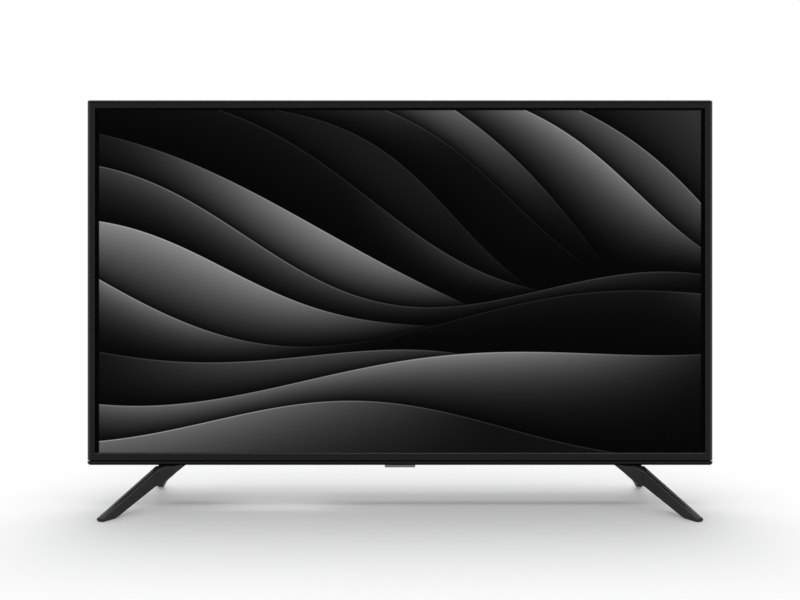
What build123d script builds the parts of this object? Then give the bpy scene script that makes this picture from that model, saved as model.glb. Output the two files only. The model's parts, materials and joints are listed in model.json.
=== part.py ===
from build123d import *
import os

# A 32 inch flat screen television on two splayed feet.
# Frame: the origin lies on the floor midway between the feet, +X to the viewer's right,
# +Y to the back, +Z up. Sizes are in millimetres.

os.makedirs("parts", exist_ok=True)

# Overall sizes
WIDTH = 725.0
BODY_HEIGHT = 423.0
FLOOR_GAP = 46.0
BODY_DEPTH = 78.0
STAND_DEPTH = 184.0
FACE_SETBACK = 80.0  # from the tips of the front feet back to the face
RUN_OUT = 2.0  # how far a cut runs past the face it breaks through
CLEARANCE = 0.3  # between pieces that don't touch

HALF_W = WIDTH / 2
BOTTOM = FLOOR_GAP
TOP = FLOOR_GAP + BODY_HEIGHT
FRONT_Y = FACE_SETBACK - STAND_DEPTH / 2

# Screen frame, seen from the front
BEZEL_SIDE = 8.8
BEZEL_TOP = 9.3
BEZEL_BOTTOM = 8.6
BEZEL_PLATE = 2.0
BEZEL_WALL = 1.8
BEZEL_BEVEL = 2.0
BEZEL_LIP_BEVEL = 0.8
BEZEL_CORNER = 2.5
BEZEL_DEPTH = 14.0
TRIM_HEIGHT = 4.1
TRIM_GROOVE = 1.4
TRIM_SETBACK = 5.5
TRIM_CORNER = 3.5
TRIM_EDGE = 1.2

# The panel and the light box behind it, as layers from front to back
FOAM_T = 0.4
GLASS_T = 0.7
LEDGE_T = 1.6
FILM_T = 0.3
DIFFUSER_T = 1.5
REFLECTOR_T = 0.4
LIGHT_CAVITY = 15.3
LIGHT_BAR_T = 1.2
LIGHT_BAR_GAP = 0.2
PLATE_T = 0.8
PANEL_MARGIN = 5.0  # glass edge inside the wall of the frame
PANEL_BOTTOM_MARGIN = 4.3
PANEL_TOP_MARGIN = 4.7

# The rear cover
COVER_WALL = 2.2
COVER_INSET = 1.0
COVER_CORNER = 3.0
RIM_END = 20.0
PLATEAU_DEPTH = 32.0
PLATEAU_SIDE = 16.5
PLATEAU_TOP = 16.0
BULGE_BASE_IN = 27.5  # inside the body's side
BULGE_BACK_IN = 62.5
BULGE_BASE_HALF = HALF_W - BULGE_BASE_IN
BULGE_BACK_HALF = HALF_W - BULGE_BACK_IN
BULGE_BASE_HEIGHT = 294.0
BULGE_BACK_HEIGHT = 254.0
BULGE_BASE_CORNER = 24.0
BULGE_BACK_CORNER = 18.0
LIP_T = 1.3
LIP_REACH = 3.5

# Boards
STANDOFF = 7.2
BOARD_T = 1.6


def at_depth(depth):
    """Upright plane this far behind the face, X to the right and Z up. Minus amounts run back."""
    return Plane.XZ.offset(-(FRONT_Y + depth))


def at_height(height):
    """Level plane at this height above the floor."""
    return Plane.XY.offset(height)


def at_x(x):
    """Upright plane across the width, with Y and Z as its two directions."""
    return Plane.YZ.offset(x)


def span(x0, x1, z0, z1, mode=Mode.ADD):
    """Rectangle between two values of the first direction and two of the second."""
    with Locations(((x0 + x1) / 2, (z0 + z1) / 2)):
        Rectangle(x1 - x0, z1 - z0, mode=mode)


def rounded_span(x0, x1, z0, z1, radius, mode=Mode.ADD):
    """The same rectangle with rounded corners."""
    with Locations(((x0 + x1) / 2, (z0 + z1) / 2)):
        RectangleRounded(x1 - x0, z1 - z0, radius, mode=mode)


# Screen frame
WINDOW_HALF = HALF_W - BEZEL_SIDE
WINDOW_TOP = TOP - BEZEL_TOP
BEZEL_FOOT = BOTTOM + TRIM_HEIGHT + TRIM_GROOVE
WINDOW_FOOT = BEZEL_FOOT + BEZEL_BOTTOM
INNER_HALF = HALF_W - BEZEL_WALL
INNER_TOP = TOP - BEZEL_WALL
INNER_FOOT = BEZEL_FOOT + BEZEL_WALL

# The panel's outline, from which every layer of the light box is inset
PANEL_HALF = INNER_HALF - PANEL_MARGIN
PANEL_FOOT = INNER_FOOT + PANEL_BOTTOM_MARGIN
PANEL_HEAD = INNER_TOP - PANEL_TOP_MARGIN
PANEL_H = PANEL_HEAD - PANEL_FOOT
PANEL_MID = (PANEL_HEAD + PANEL_FOOT) / 2


def panel_outline(inset, mode=Mode.ADD):
    """The panel's rectangle drawn this far inside its edge."""
    with Locations((0, PANEL_MID)):
        Rectangle(2 * (PANEL_HALF - inset), PANEL_H - 2 * inset, mode=mode)


# Depths of the layers
GLASS_FRONT = BEZEL_PLATE + FOAM_T
ARRAY_FRONT = GLASS_FRONT + GLASS_T
LEDGE_FRONT = ARRAY_FRONT + GLASS_T
FILM_FRONT = LEDGE_FRONT + LEDGE_T
DIFFUSER_FRONT = FILM_FRONT + 2 * FILM_T
RIM_FRONT = DIFFUSER_FRONT + DIFFUSER_T
PLATE_RIM_FRONT = RIM_FRONT + REFLECTOR_T
FLOOR_FRONT = PLATE_RIM_FRONT + LIGHT_CAVITY
BAR_FRONT = FLOOR_FRONT + REFLECTOR_T + LIGHT_BAR_GAP
PLATE_FRONT = BAR_FRONT + LIGHT_BAR_T
PLATE_BACK = PLATE_FRONT + PLATE_T
BOARD_FRONT = PLATE_BACK + STANDOFF
BOARD_BACK = BOARD_FRONT + BOARD_T

# Tab under the middle of the frame: a sensor window with the power key behind it
TAB_W = 35.4
TAB_DROP = 3.0
TAB_FRONT = 2.0
TAB_DEPTH = 22.0
TAB_CORNER = 1.0
GUIDE_W = 10.0
GUIDE_DEPTH = 3.4
GUIDE_AT = 18.5  # depth of its middle behind the face
GUIDE_HEIGHT = 4.0
KEY_W = 9.0
KEY_DEPTH = 7.0
KEY_AT = 31.8
KEY_DROP = 1.8
KEY_FLANGE = 2.0
KEY_FLANGE_T = 1.0
KEY_NUB = 1.5
KEY_NUB_H = 1.2
KEY_TRAVEL = 0.7
KEY_PLAY = 0.3
SWITCH_R = 2.8
SWITCH_H = 1.6

# Front bezel: a shallow tray with the screen's window cut through its face
with BuildPart() as front_bezel:
    with BuildSketch(at_depth(0)):
        span(-HALF_W, HALF_W, BEZEL_FOOT, TOP)
    extrude(amount=-BEZEL_DEPTH)
    upright = front_bezel.edges().filter_by(Axis.Y).group_by(Axis.Z)[-1]
    fillet(upright, radius=BEZEL_CORNER)
    rim = front_bezel.faces().sort_by(Axis.Y)[0].edges().group_by(Axis.Z)[1:]
    chamfer([edge for group in rim for edge in group], length=BEZEL_BEVEL)
    with BuildSketch(at_depth(BEZEL_PLATE)):
        span(-INNER_HALF, INNER_HALF, INNER_FOOT, INNER_TOP)
    extrude(amount=-BEZEL_DEPTH, mode=Mode.SUBTRACT)
    with BuildSketch(at_depth(-RUN_OUT)):
        span(-WINDOW_HALF, WINDOW_HALF, WINDOW_FOOT, WINDOW_TOP)
    extrude(amount=-(BEZEL_PLATE + 2 * RUN_OUT), mode=Mode.SUBTRACT)
    lip = front_bezel.faces().sort_by(Axis.Y)[0].inner_wires()[0].edges()
    chamfer(lip, length=BEZEL_LIP_BEVEL)
front_bezel.part.label = "front_bezel"
export_step(front_bezel.part, "parts/front_bezel.step")

# Bottom trim: a separate strip whose tongue leaves the dark groove under the frame
with BuildPart() as bottom_trim:
    with BuildSketch(at_depth(0)):
        span(-HALF_W, HALF_W, BOTTOM, BOTTOM + TRIM_HEIGHT)
    extrude(amount=-BEZEL_DEPTH)
    ends = bottom_trim.edges().filter_by(Axis.Y).group_by(Axis.Z)[0]
    fillet(ends, radius=TRIM_CORNER)
    nose = bottom_trim.faces().sort_by(Axis.Y)[0].edges().group_by(Axis.Z)[:2]
    chamfer([edge for group in nose for edge in group], length=TRIM_EDGE)
    with BuildSketch(at_depth(TRIM_SETBACK)):
        span(-INNER_HALF, INNER_HALF, BOTTOM + TRIM_HEIGHT, BEZEL_FOOT)
    extrude(amount=-(BEZEL_DEPTH - TRIM_SETBACK))
bottom_trim.part.label = "bottom_trim"
export_step(bottom_trim.part, "parts/bottom_trim.step")

# Sensor window: the smoked tab under the frame, with a light guide up to the receiver
with BuildPart() as sensor_window:
    with BuildSketch(at_height(BOTTOM - TAB_DROP)):
        rounded_span(
            -TAB_W / 2,
            TAB_W / 2,
            FRONT_Y + TAB_FRONT,
            FRONT_Y + TAB_FRONT + TAB_DEPTH,
            TAB_CORNER,
        )
    extrude(amount=TAB_DROP)
    with BuildSketch(at_height(BOTTOM)):
        with Locations((0, FRONT_Y + GUIDE_AT)):
            Rectangle(GUIDE_W, GUIDE_DEPTH)
    extrude(amount=GUIDE_HEIGHT)
sensor_window.part.label = "sensor_window"
export_step(sensor_window.part, "parts/sensor_window.step")

# Foam strip between the frame and the glass
FOAM_OUT = 0.2
FOAM_IN = 0.4
with BuildPart() as bezel_foam:
    with BuildSketch(at_depth(BEZEL_PLATE)):
        panel_outline(FOAM_OUT)
        span(
            -WINDOW_HALF - FOAM_IN,
            WINDOW_HALF + FOAM_IN,
            WINDOW_FOOT - FOAM_IN,
            WINDOW_TOP + FOAM_IN,
            mode=Mode.SUBTRACT,
        )
    extrude(amount=-FOAM_T)
bezel_foam.part.label = "bezel_foam"
export_step(bezel_foam.part, "parts/bezel_foam.step")

# The two glass sheets of the screen. The rear one is longer at the foot, for the ribbons.
ARRAY_LEDGE = 2.0
with BuildPart() as filter_glass:
    with BuildSketch(at_depth(GLASS_FRONT)):
        span(-PANEL_HALF, PANEL_HALF, PANEL_FOOT + ARRAY_LEDGE, PANEL_HEAD)
    extrude(amount=-GLASS_T)
filter_glass.part.label = "filter_glass"
export_step(filter_glass.part, "parts/filter_glass.step")

with BuildPart() as array_glass:
    with BuildSketch(at_depth(ARRAY_FRONT)):
        panel_outline(0)
    extrude(amount=-GLASS_T)
array_glass.part.label = "array_glass"
export_step(array_glass.part, "parts/array_glass.step")

# Mid frame: the moulded ring that the glass rests on
MID_OUT = 2.8
MID_WALL = 1.5
MID_LEDGE_IN = 2.2
MID_DEPTH = 8.2
with BuildPart() as mid_frame:
    with BuildSketch(at_depth(LEDGE_FRONT)):
        panel_outline(-MID_OUT)
        panel_outline(MID_LEDGE_IN, mode=Mode.SUBTRACT)
    extrude(amount=-LEDGE_T)
    with BuildSketch(at_depth(LEDGE_FRONT)):
        panel_outline(-MID_OUT)
        panel_outline(MID_WALL - MID_OUT, mode=Mode.SUBTRACT)
    extrude(amount=-MID_DEPTH)
mid_frame.part.label = "mid_frame"
export_step(mid_frame.part, "parts/mid_frame.step")

# Films and diffuser plate
SHEET_IN = 0.4
with BuildPart() as prism_sheet:
    with BuildSketch(at_depth(FILM_FRONT)):
        panel_outline(SHEET_IN)
    extrude(amount=-FILM_T)
prism_sheet.part.label = "prism_sheet"
export_step(prism_sheet.part, "parts/prism_sheet.step")

with BuildPart() as diffuser_sheet:
    with BuildSketch(at_depth(FILM_FRONT + FILM_T)):
        panel_outline(SHEET_IN)
    extrude(amount=-FILM_T)
diffuser_sheet.part.label = "diffuser_sheet"
export_step(diffuser_sheet.part, "parts/diffuser_sheet.step")

with BuildPart() as diffuser_plate:
    with BuildSketch(at_depth(DIFFUSER_FRONT)):
        panel_outline(SHEET_IN)
    extrude(amount=-DIFFUSER_T)
diffuser_plate.part.label = "diffuser_plate"
export_step(diffuser_plate.part, "parts/diffuser_plate.step")

# Reflector: a thin white tray with sloping walls and a hole over each lamp
REFLECTOR_TOP_IN = 7.7
REFLECTOR_FLOOR_IN = 24.0
LENS_R = 8.0
LENS_H = 5.0
LENS_HOLE = 0.8
LIGHT_ROWS = 3
LIGHT_COLUMNS = 9
ROW_END = 48.45  # from the edge of the tray's floor to the first row
COLUMN_END = 35.7
COLUMN_SPACING = 2 * (PANEL_HALF - REFLECTOR_FLOOR_IN - COLUMN_END) / (LIGHT_COLUMNS - 1)
ROW_SPACING = (PANEL_H - 2 * REFLECTOR_FLOOR_IN - 2 * ROW_END) / (LIGHT_ROWS - 1)

with BuildPart() as reflector_tray:
    with BuildSketch(at_depth(RIM_FRONT)):
        panel_outline(REFLECTOR_TOP_IN)
    with BuildSketch(at_depth(FLOOR_FRONT + REFLECTOR_T)):
        panel_outline(REFLECTOR_FLOOR_IN)
    loft()
    with BuildSketch(at_depth(RIM_FRONT)):
        panel_outline(SHEET_IN)
    extrude(amount=-REFLECTOR_T)
    with BuildSketch(at_depth(RIM_FRONT)):
        panel_outline(REFLECTOR_TOP_IN + REFLECTOR_T)
    with BuildSketch(at_depth(FLOOR_FRONT)):
        panel_outline(REFLECTOR_FLOOR_IN + REFLECTOR_T)
    loft(mode=Mode.SUBTRACT)
    with BuildSketch(at_depth(FLOOR_FRONT)):
        with Locations((0, PANEL_MID)):
            with GridLocations(COLUMN_SPACING, ROW_SPACING, LIGHT_COLUMNS, LIGHT_ROWS):
                Circle(LENS_R + LENS_HOLE)
    extrude(amount=-REFLECTOR_T, mode=Mode.SUBTRACT)
reflector_tray.part.label = "reflector_tray"
export_step(reflector_tray.part, "parts/reflector_tray.step")

# Light bars with a lens over each lamp
BAR_H = 18.0
BAR_END = 14.0
with BuildPart() as light_bars:
    with BuildSketch(at_depth(BAR_FRONT)):
        with Locations((0, PANEL_MID)):
            with GridLocations(COLUMN_SPACING, ROW_SPACING, 1, LIGHT_ROWS):
                Rectangle(COLUMN_SPACING * (LIGHT_COLUMNS - 1) + 2 * BAR_END, BAR_H)
    extrude(amount=-LIGHT_BAR_T)
light_bars.part.label = "light_bars"
export_step(light_bars.part, "parts/light_bars.step")

LENS_TOP_R = 5.0
LENS_SIDES = 8
with BuildPart() as light_lenses:
    with BuildSketch(at_depth(BAR_FRONT)):
        with Locations((0, PANEL_MID)):
            with GridLocations(COLUMN_SPACING, ROW_SPACING, LIGHT_COLUMNS, LIGHT_ROWS):
                RegularPolygon(LENS_R, LENS_SIDES)
    with BuildSketch(at_depth(BAR_FRONT - LENS_H)):
        with Locations((0, PANEL_MID)):
            with GridLocations(COLUMN_SPACING, ROW_SPACING, LIGHT_COLUMNS, LIGHT_ROWS):
                RegularPolygon(LENS_TOP_R, LENS_SIDES)
    bases = light_lenses.pending_faces[: LIGHT_ROWS * LIGHT_COLUMNS]
    tops = light_lenses.pending_faces[LIGHT_ROWS * LIGHT_COLUMNS :]
    light_lenses.pending_faces = []
    for base, top in zip(bases, tops):
        loft([base, top])
light_lenses.part.label = "light_lenses"
export_step(light_lenses.part, "parts/light_lenses.step")

# Pins that keep the diffuser plate off the lamps
PIN_FOOT_R = 4.0
PIN_TIP_R = 1.2
PIN_COLUMNS = 4
PIN_FOOT_T = 1.0
with BuildPart() as diffuser_pins:
    with BuildSketch(at_depth(FLOOR_FRONT)):
        with Locations((0, PANEL_MID)):
            with GridLocations(2 * COLUMN_SPACING, ROW_SPACING, PIN_COLUMNS, LIGHT_ROWS - 1):
                Circle(PIN_FOOT_R)
    extrude(amount=PIN_FOOT_T)
    with BuildSketch(at_depth(FLOOR_FRONT - PIN_FOOT_T)):
        with Locations((0, PANEL_MID)):
            with GridLocations(2 * COLUMN_SPACING, ROW_SPACING, PIN_COLUMNS, LIGHT_ROWS - 1):
                Circle(PIN_TIP_R)
    extrude(amount=FLOOR_FRONT - PIN_FOOT_T - RIM_FRONT)
diffuser_pins.part.label = "diffuser_pins"
export_step(diffuser_pins.part, "parts/diffuser_pins.step")

# Steel back plate: a pressed tray with a rim, and the backbone of the set
PLATE_RIM_OUT = 1.0
PLATE_TOP_IN = 5.7
PLATE_FLOOR_IN = 21.0

# Screws through the cover, as places seen from the front
SCREW_R = 1.5
SCREW_FIT = 0.05
SCREW_HEAD_R = 3.0
SCREW_HEAD_H = 1.8
SCREW_REACH = 1.0  # how far it comes through the plate
UPPER_SCREW_DROP = 21.0  # below the shoulder's upper edge
UPPER_SCREW_IN = 45.0  # inside the shoulder's side edge
UPPER_SCREWS = 5
SIDE_SCREW_IN = 26.0  # inside the shoulder's side edge
SIDE_SCREW_RISE = 35.0  # above the bulge
PLATEAU_HALF = HALF_W - COVER_INSET - PLATEAU_SIDE
PLATEAU_HEAD = TOP - COVER_INSET - PLATEAU_TOP
UPPER_SCREW_SPACING = 2 * (PLATEAU_HALF - UPPER_SCREW_IN) / (UPPER_SCREWS - 1)
SHALLOW_SCREWS = [
    ((column - (UPPER_SCREWS - 1) / 2) * UPPER_SCREW_SPACING, PLATEAU_HEAD - UPPER_SCREW_DROP)
    for column in range(UPPER_SCREWS)
]
for side in (-1, 1):
    SHALLOW_SCREWS.append(
        (side * (PLATEAU_HALF - SIDE_SCREW_IN), BOTTOM + BULGE_BASE_HEIGHT + SIDE_SCREW_RISE)
    )
DEEP_LOW_SHARE = 0.165  # of the half width
DEEP_LOW_X = DEEP_LOW_SHARE * HALF_W
DEEP_LOW_RISE = 66.0
DEEP_HIGH_X = 106.0
DEEP_HIGH_RISE = 234.0
DEEP_SCREWS = []
for side in (-1, 1):
    DEEP_SCREWS.append((side * DEEP_LOW_X, BOTTOM + DEEP_LOW_RISE))
    DEEP_SCREWS.append((side * DEEP_HIGH_X, BOTTOM + DEEP_HIGH_RISE))

with BuildPart() as back_plate:
    with BuildSketch(at_depth(PLATE_RIM_FRONT)):
        panel_outline(PLATE_TOP_IN)
    with BuildSketch(at_depth(PLATE_BACK)):
        panel_outline(PLATE_FLOOR_IN)
    loft()
    with BuildSketch(at_depth(PLATE_RIM_FRONT)):
        panel_outline(-PLATE_RIM_OUT)
    extrude(amount=-PLATE_T)
    with BuildSketch(at_depth(PLATE_RIM_FRONT)):
        panel_outline(PLATE_TOP_IN + PLATE_T)
    with BuildSketch(at_depth(PLATE_FRONT)):
        panel_outline(PLATE_FLOOR_IN + PLATE_T)
    loft(mode=Mode.SUBTRACT)
    with BuildSketch(at_depth(PLATE_FRONT)):
        with Locations(SHALLOW_SCREWS + DEEP_SCREWS):
            Circle(SCREW_R + SCREW_FIT)
    extrude(amount=-PLATE_T, mode=Mode.SUBTRACT)
back_plate.part.label = "back_plate"
export_step(back_plate.part, "parts/back_plate.step")

# Wall mount pillars: threaded steel posts that come out flush in the back
MOUNT_SPACING = 100.0
MOUNT_RISE = 179.0  # middle of the square above the underside
PILLAR_R = 6.0
PILLAR_FLANGE_R = 9.0
PILLAR_FLANGE_T = 1.5
PILLAR_SET_IN = 0.4
MOUNT_HOLE_R = 2.0
MOUNT_HOLE_DEPTH = 14.0
with BuildPart() as mount_pillars:
    with BuildSketch(at_depth(PLATE_BACK)):
        with Locations((0, BOTTOM + MOUNT_RISE)):
            with GridLocations(MOUNT_SPACING, MOUNT_SPACING, 2, 2):
                Circle(PILLAR_FLANGE_R)
    extrude(amount=-PILLAR_FLANGE_T)
    with BuildSketch(at_depth(PLATE_BACK + PILLAR_FLANGE_T)):
        with Locations((0, BOTTOM + MOUNT_RISE)):
            with GridLocations(MOUNT_SPACING, MOUNT_SPACING, 2, 2):
                Circle(PILLAR_R)
    extrude(amount=-(BODY_DEPTH - PILLAR_SET_IN - PLATE_BACK - PILLAR_FLANGE_T))
    with BuildSketch(at_depth(BODY_DEPTH - PILLAR_SET_IN - MOUNT_HOLE_DEPTH)):
        with Locations((0, BOTTOM + MOUNT_RISE)):
            with GridLocations(MOUNT_SPACING, MOUNT_SPACING, 2, 2):
                Circle(MOUNT_HOLE_R)
    extrude(amount=-(MOUNT_HOLE_DEPTH + RUN_OUT), mode=Mode.SUBTRACT)
mount_pillars.part.label = "mount_pillars"
export_step(mount_pillars.part, "parts/mount_pillars.step")

# Bays in the cover: sockets at the side, sockets at the foot, and the mains inlet
BAY_SIDE = 132.5  # from the body's side to the side bays' walls
BAY_IN = HALF_W - BAY_SIDE
SIDE_BAY_FOOT = 64.0
SIDE_BAY_H = 140.0
POWER_BAY_FOOT = 64.0
POWER_BAY_H = 70.0
FOOT_BAY_SHARES = (0.39, 0.826)  # its two ends, of the way out to the side bay
FOOT_BAY_NEAR = FOOT_BAY_SHARES[0] * BAY_IN
FOOT_BAY_FAR = FOOT_BAY_SHARES[1] * BAY_IN
FOOT_BAY_H = 54.0
SIDE_BAY = (-HALF_W, -BAY_IN, BOTTOM + SIDE_BAY_FOOT, BOTTOM + SIDE_BAY_FOOT + SIDE_BAY_H)
POWER_BAY = (BAY_IN, HALF_W, BOTTOM + POWER_BAY_FOOT, BOTTOM + POWER_BAY_FOOT + POWER_BAY_H)
FOOT_BAY = (-FOOT_BAY_FAR, -FOOT_BAY_NEAR, 0, BOTTOM + FOOT_BAY_H)

# Circuit boards, placed edge to edge with the bays' walls
MAIN_HALF_LEFT = BAY_IN - COVER_WALL - CLEARANCE
MAIN_SHARE = 0.65  # of the room between the bay and the middle
MAIN_W = MAIN_SHARE * MAIN_HALF_LEFT
MAIN_FOOT = BOTTOM + FOOT_BAY_H + COVER_WALL + CLEARANCE
MAIN_H = 158.0
MAIN_LEFT = -MAIN_HALF_LEFT
MAIN_RIGHT = MAIN_LEFT + MAIN_W
MAIN_HEAD = MAIN_FOOT + MAIN_H
POWER_SHARE = 0.63
POWER_W = POWER_SHARE * MAIN_HALF_LEFT
POWER_H = 150.0
POWER_RIGHT = MAIN_HALF_LEFT
POWER_LEFT = POWER_RIGHT - POWER_W
POWER_FOOT = MAIN_FOOT
POWER_HEAD = POWER_FOOT + POWER_H
TIMING_W = 76.0
TIMING_H = 40.0
TIMING_RISE = 84.0  # above the underside
TIMING_FOOT = BOTTOM + TIMING_RISE
STANDOFF_R = 3.5
BOARD_SCREW_R = 1.4
BOARD_SCREW_HEAD_R = 2.8
BOARD_SCREW_HEAD_H = 1.6
BOARD_SCREW_LENGTH = 6.0
BOARD_HOLE_PLAY = 0.3
BOARD_EDGE = 6.0


def corners(left, right, foot, head):
    """The four screw places inside the corners of a board."""
    places = []
    for x in (left + BOARD_EDGE, right - BOARD_EDGE):
        for z in (foot + BOARD_EDGE, head - BOARD_EDGE):
            places.append((x, z))
    return places


BOARD_SCREWS = (
    corners(MAIN_LEFT, MAIN_RIGHT, MAIN_FOOT, MAIN_HEAD)
    + corners(POWER_LEFT, POWER_RIGHT, POWER_FOOT, POWER_HEAD)
    + corners(-TIMING_W / 2, TIMING_W / 2, TIMING_FOOT, TIMING_FOOT + TIMING_H)
)

with BuildPart() as board_standoffs:
    with BuildSketch(at_depth(PLATE_BACK)):
        with Locations(BOARD_SCREWS):
            Circle(STANDOFF_R)
            Circle(BOARD_SCREW_R + SCREW_FIT, mode=Mode.SUBTRACT)
    extrude(amount=-STANDOFF)
board_standoffs.part.label = "board_standoffs"
export_step(board_standoffs.part, "parts/board_standoffs.step")

with BuildPart() as board_screws:
    with BuildSketch(at_depth(BOARD_BACK)):
        with Locations(BOARD_SCREWS):
            Circle(BOARD_SCREW_R)
    extrude(amount=BOARD_SCREW_LENGTH)
    with BuildSketch(at_depth(BOARD_BACK)):
        with Locations(BOARD_SCREWS):
            Circle(BOARD_SCREW_HEAD_R)
    extrude(amount=-BOARD_SCREW_HEAD_H)
board_screws.part.label = "board_screws"
export_step(board_screws.part, "parts/board_screws.step")

with BuildPart() as main_board:
    with BuildSketch(at_depth(BOARD_FRONT)):
        span(MAIN_LEFT, MAIN_RIGHT, MAIN_FOOT, MAIN_HEAD)
        with Locations(corners(MAIN_LEFT, MAIN_RIGHT, MAIN_FOOT, MAIN_HEAD)):
            Circle(BOARD_SCREW_R + BOARD_HOLE_PLAY, mode=Mode.SUBTRACT)
    extrude(amount=-BOARD_T)
main_board.part.label = "main_board"
export_step(main_board.part, "parts/main_board.step")

with BuildPart() as power_board:
    with BuildSketch(at_depth(BOARD_FRONT)):
        span(POWER_LEFT, POWER_RIGHT, POWER_FOOT, POWER_HEAD)
        with Locations(corners(POWER_LEFT, POWER_RIGHT, POWER_FOOT, POWER_HEAD)):
            Circle(BOARD_SCREW_R + BOARD_HOLE_PLAY, mode=Mode.SUBTRACT)
    extrude(amount=-BOARD_T)
power_board.part.label = "power_board"
export_step(power_board.part, "parts/power_board.step")

with BuildPart() as timing_board:
    with BuildSketch(at_depth(BOARD_FRONT)):
        span(-TIMING_W / 2, TIMING_W / 2, TIMING_FOOT, TIMING_FOOT + TIMING_H)
        with Locations(corners(-TIMING_W / 2, TIMING_W / 2, TIMING_FOOT, TIMING_FOOT + TIMING_H)):
            Circle(BOARD_SCREW_R + BOARD_HOLE_PLAY, mode=Mode.SUBTRACT)
    extrude(amount=-BOARD_T)
timing_board.part.label = "timing_board"
export_step(timing_board.part, "parts/timing_board.step")

# Sockets of the main board. Each is a metal or plastic shell open towards its bay.
SOCKET_FACE = 0.5  # behind the bay wall's outer face
VIDEO_W = 15.4
VIDEO_H = 6.6
VIDEO_DEPTH = 12.0
USB_W = 14.4
USB_H = 7.0
USB_DEPTH = 14.0
METAL_SHELL = 0.5
TONGUE_T = 1.0
LAN_W = 16.4
LAN_H = 13.6
LAN_DEPTH = 15.0
LAN_WALL = 1.4
OPTICAL_W = 10.0
OPTICAL_H = 9.6
OPTICAL_DEPTH = 13.0
OPTICAL_WALL = 1.6
JACK_W = 9.0
JACK_H = 6.6
JACK_DEPTH = 12.0
JACK_R = 1.8
AERIAL_R = 4.7
AERIAL_BORE_R = 3.4
AERIAL_BOX_W = 15.0
AERIAL_BOX_H = 13.0
AERIAL_BOX_DEPTH = 18.0
AERIAL_NOSE = 9.0

# Where each one sits, as shares of its bay's length
SIDE_VIDEO_SHARES = (0.84, 0.64)
SIDE_USB_SHARES = (0.45, 0.28)
SIDE_JACK_SHARE = 0.11
FOOT_VIDEO_SHARE = 0.13
FOOT_LAN_SHARE = 0.37
FOOT_OPTICAL_SHARE = 0.6
FOOT_AERIAL_SHARE = 0.84


def side_z(share):
    """Height at this share of the side bay."""
    return SIDE_BAY[2] + share * SIDE_BAY_H


def foot_x(share):
    """X at this share of the foot bay, from its outer end."""
    return -FOOT_BAY_FAR + share * (FOOT_BAY_FAR - FOOT_BAY_NEAR)


def block(x0, x1, d0, d1, z0, z1, mode=Mode.ADD):
    """Square block between two X, two depths behind the face and two heights."""
    with Locations(((x0 + x1) / 2, FRONT_Y + (d0 + d1) / 2, (z0 + z1) / 2)):
        Box(abs(x1 - x0), abs(d1 - d0), abs(z1 - z0), mode=mode)


def side_socket(z, width, height, depth, wall, tongue):
    """A socket that opens to the left, its shell on the back of the main board."""
    face = -BAY_IN + SOCKET_FACE
    block(face, face + depth, BOARD_BACK, BOARD_BACK + height, z - width / 2, z + width / 2)
    block(
        face - RUN_OUT,
        face + depth - wall,
        BOARD_BACK + wall,
        BOARD_BACK + height - wall,
        z - width / 2 + wall,
        z + width / 2 - wall,
        mode=Mode.SUBTRACT,
    )
    if tongue:
        middle = BOARD_BACK + height / 2
        block(
            face + depth / 2,
            face + depth - wall,
            middle - TONGUE_T / 2,
            middle + TONGUE_T / 2,
            z - width / 2 + 2 * TONGUE_T,
            z + width / 2 - 2 * TONGUE_T,
        )


def foot_socket(x, width, height, depth, wall, tongue):
    """A socket that opens downwards, its shell on the back of the main board."""
    face = BOTTOM + FOOT_BAY_H + SOCKET_FACE
    block(x - width / 2, x + width / 2, BOARD_BACK, BOARD_BACK + height, face, face + depth)
    block(
        x - width / 2 + wall,
        x + width / 2 - wall,
        BOARD_BACK + wall,
        BOARD_BACK + height - wall,
        face - RUN_OUT,
        face + depth - wall,
        mode=Mode.SUBTRACT,
    )
    if tongue:
        middle = BOARD_BACK + height / 2
        block(
            x - width / 2 + 2 * TONGUE_T,
            x + width / 2 - 2 * TONGUE_T,
            middle - TONGUE_T / 2,
            middle + TONGUE_T / 2,
            face + depth / 2,
            face + depth - wall,
        )


with BuildPart() as video_sockets:
    for share in SIDE_VIDEO_SHARES:
        side_socket(side_z(share), VIDEO_W, VIDEO_H, VIDEO_DEPTH, METAL_SHELL, True)
    foot_socket(foot_x(FOOT_VIDEO_SHARE), VIDEO_W, VIDEO_H, VIDEO_DEPTH, METAL_SHELL, True)
video_sockets.part.label = "video_sockets"
export_step(video_sockets.part, "parts/video_sockets.step")

with BuildPart() as usb_sockets:
    for share in SIDE_USB_SHARES:
        side_socket(side_z(share), USB_W, USB_H, USB_DEPTH, METAL_SHELL, True)
usb_sockets.part.label = "usb_sockets"
export_step(usb_sockets.part, "parts/usb_sockets.step")

with BuildPart() as lan_socket:
    foot_socket(foot_x(FOOT_LAN_SHARE), LAN_W, LAN_H, LAN_DEPTH, LAN_WALL, False)
lan_socket.part.label = "lan_socket"
export_step(lan_socket.part, "parts/lan_socket.step")

with BuildPart() as optical_socket:
    foot_socket(
        foot_x(FOOT_OPTICAL_SHARE), OPTICAL_W, OPTICAL_H, OPTICAL_DEPTH, OPTICAL_WALL, False
    )
optical_socket.part.label = "optical_socket"
export_step(optical_socket.part, "parts/optical_socket.step")

with BuildPart() as headphone_jack:
    face = -BAY_IN + SOCKET_FACE
    middle = side_z(SIDE_JACK_SHARE)
    block(
        face,
        face + JACK_DEPTH,
        BOARD_BACK,
        BOARD_BACK + JACK_H,
        middle - JACK_W / 2,
        middle + JACK_W / 2,
    )
    with BuildSketch(at_x(face)):
        with Locations((FRONT_Y + BOARD_BACK + JACK_H / 2, middle)):
            Circle(JACK_R)
    extrude(amount=JACK_DEPTH - JACK_R, mode=Mode.SUBTRACT)
headphone_jack.part.label = "headphone_jack"
export_step(headphone_jack.part, "parts/headphone_jack.step")

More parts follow.
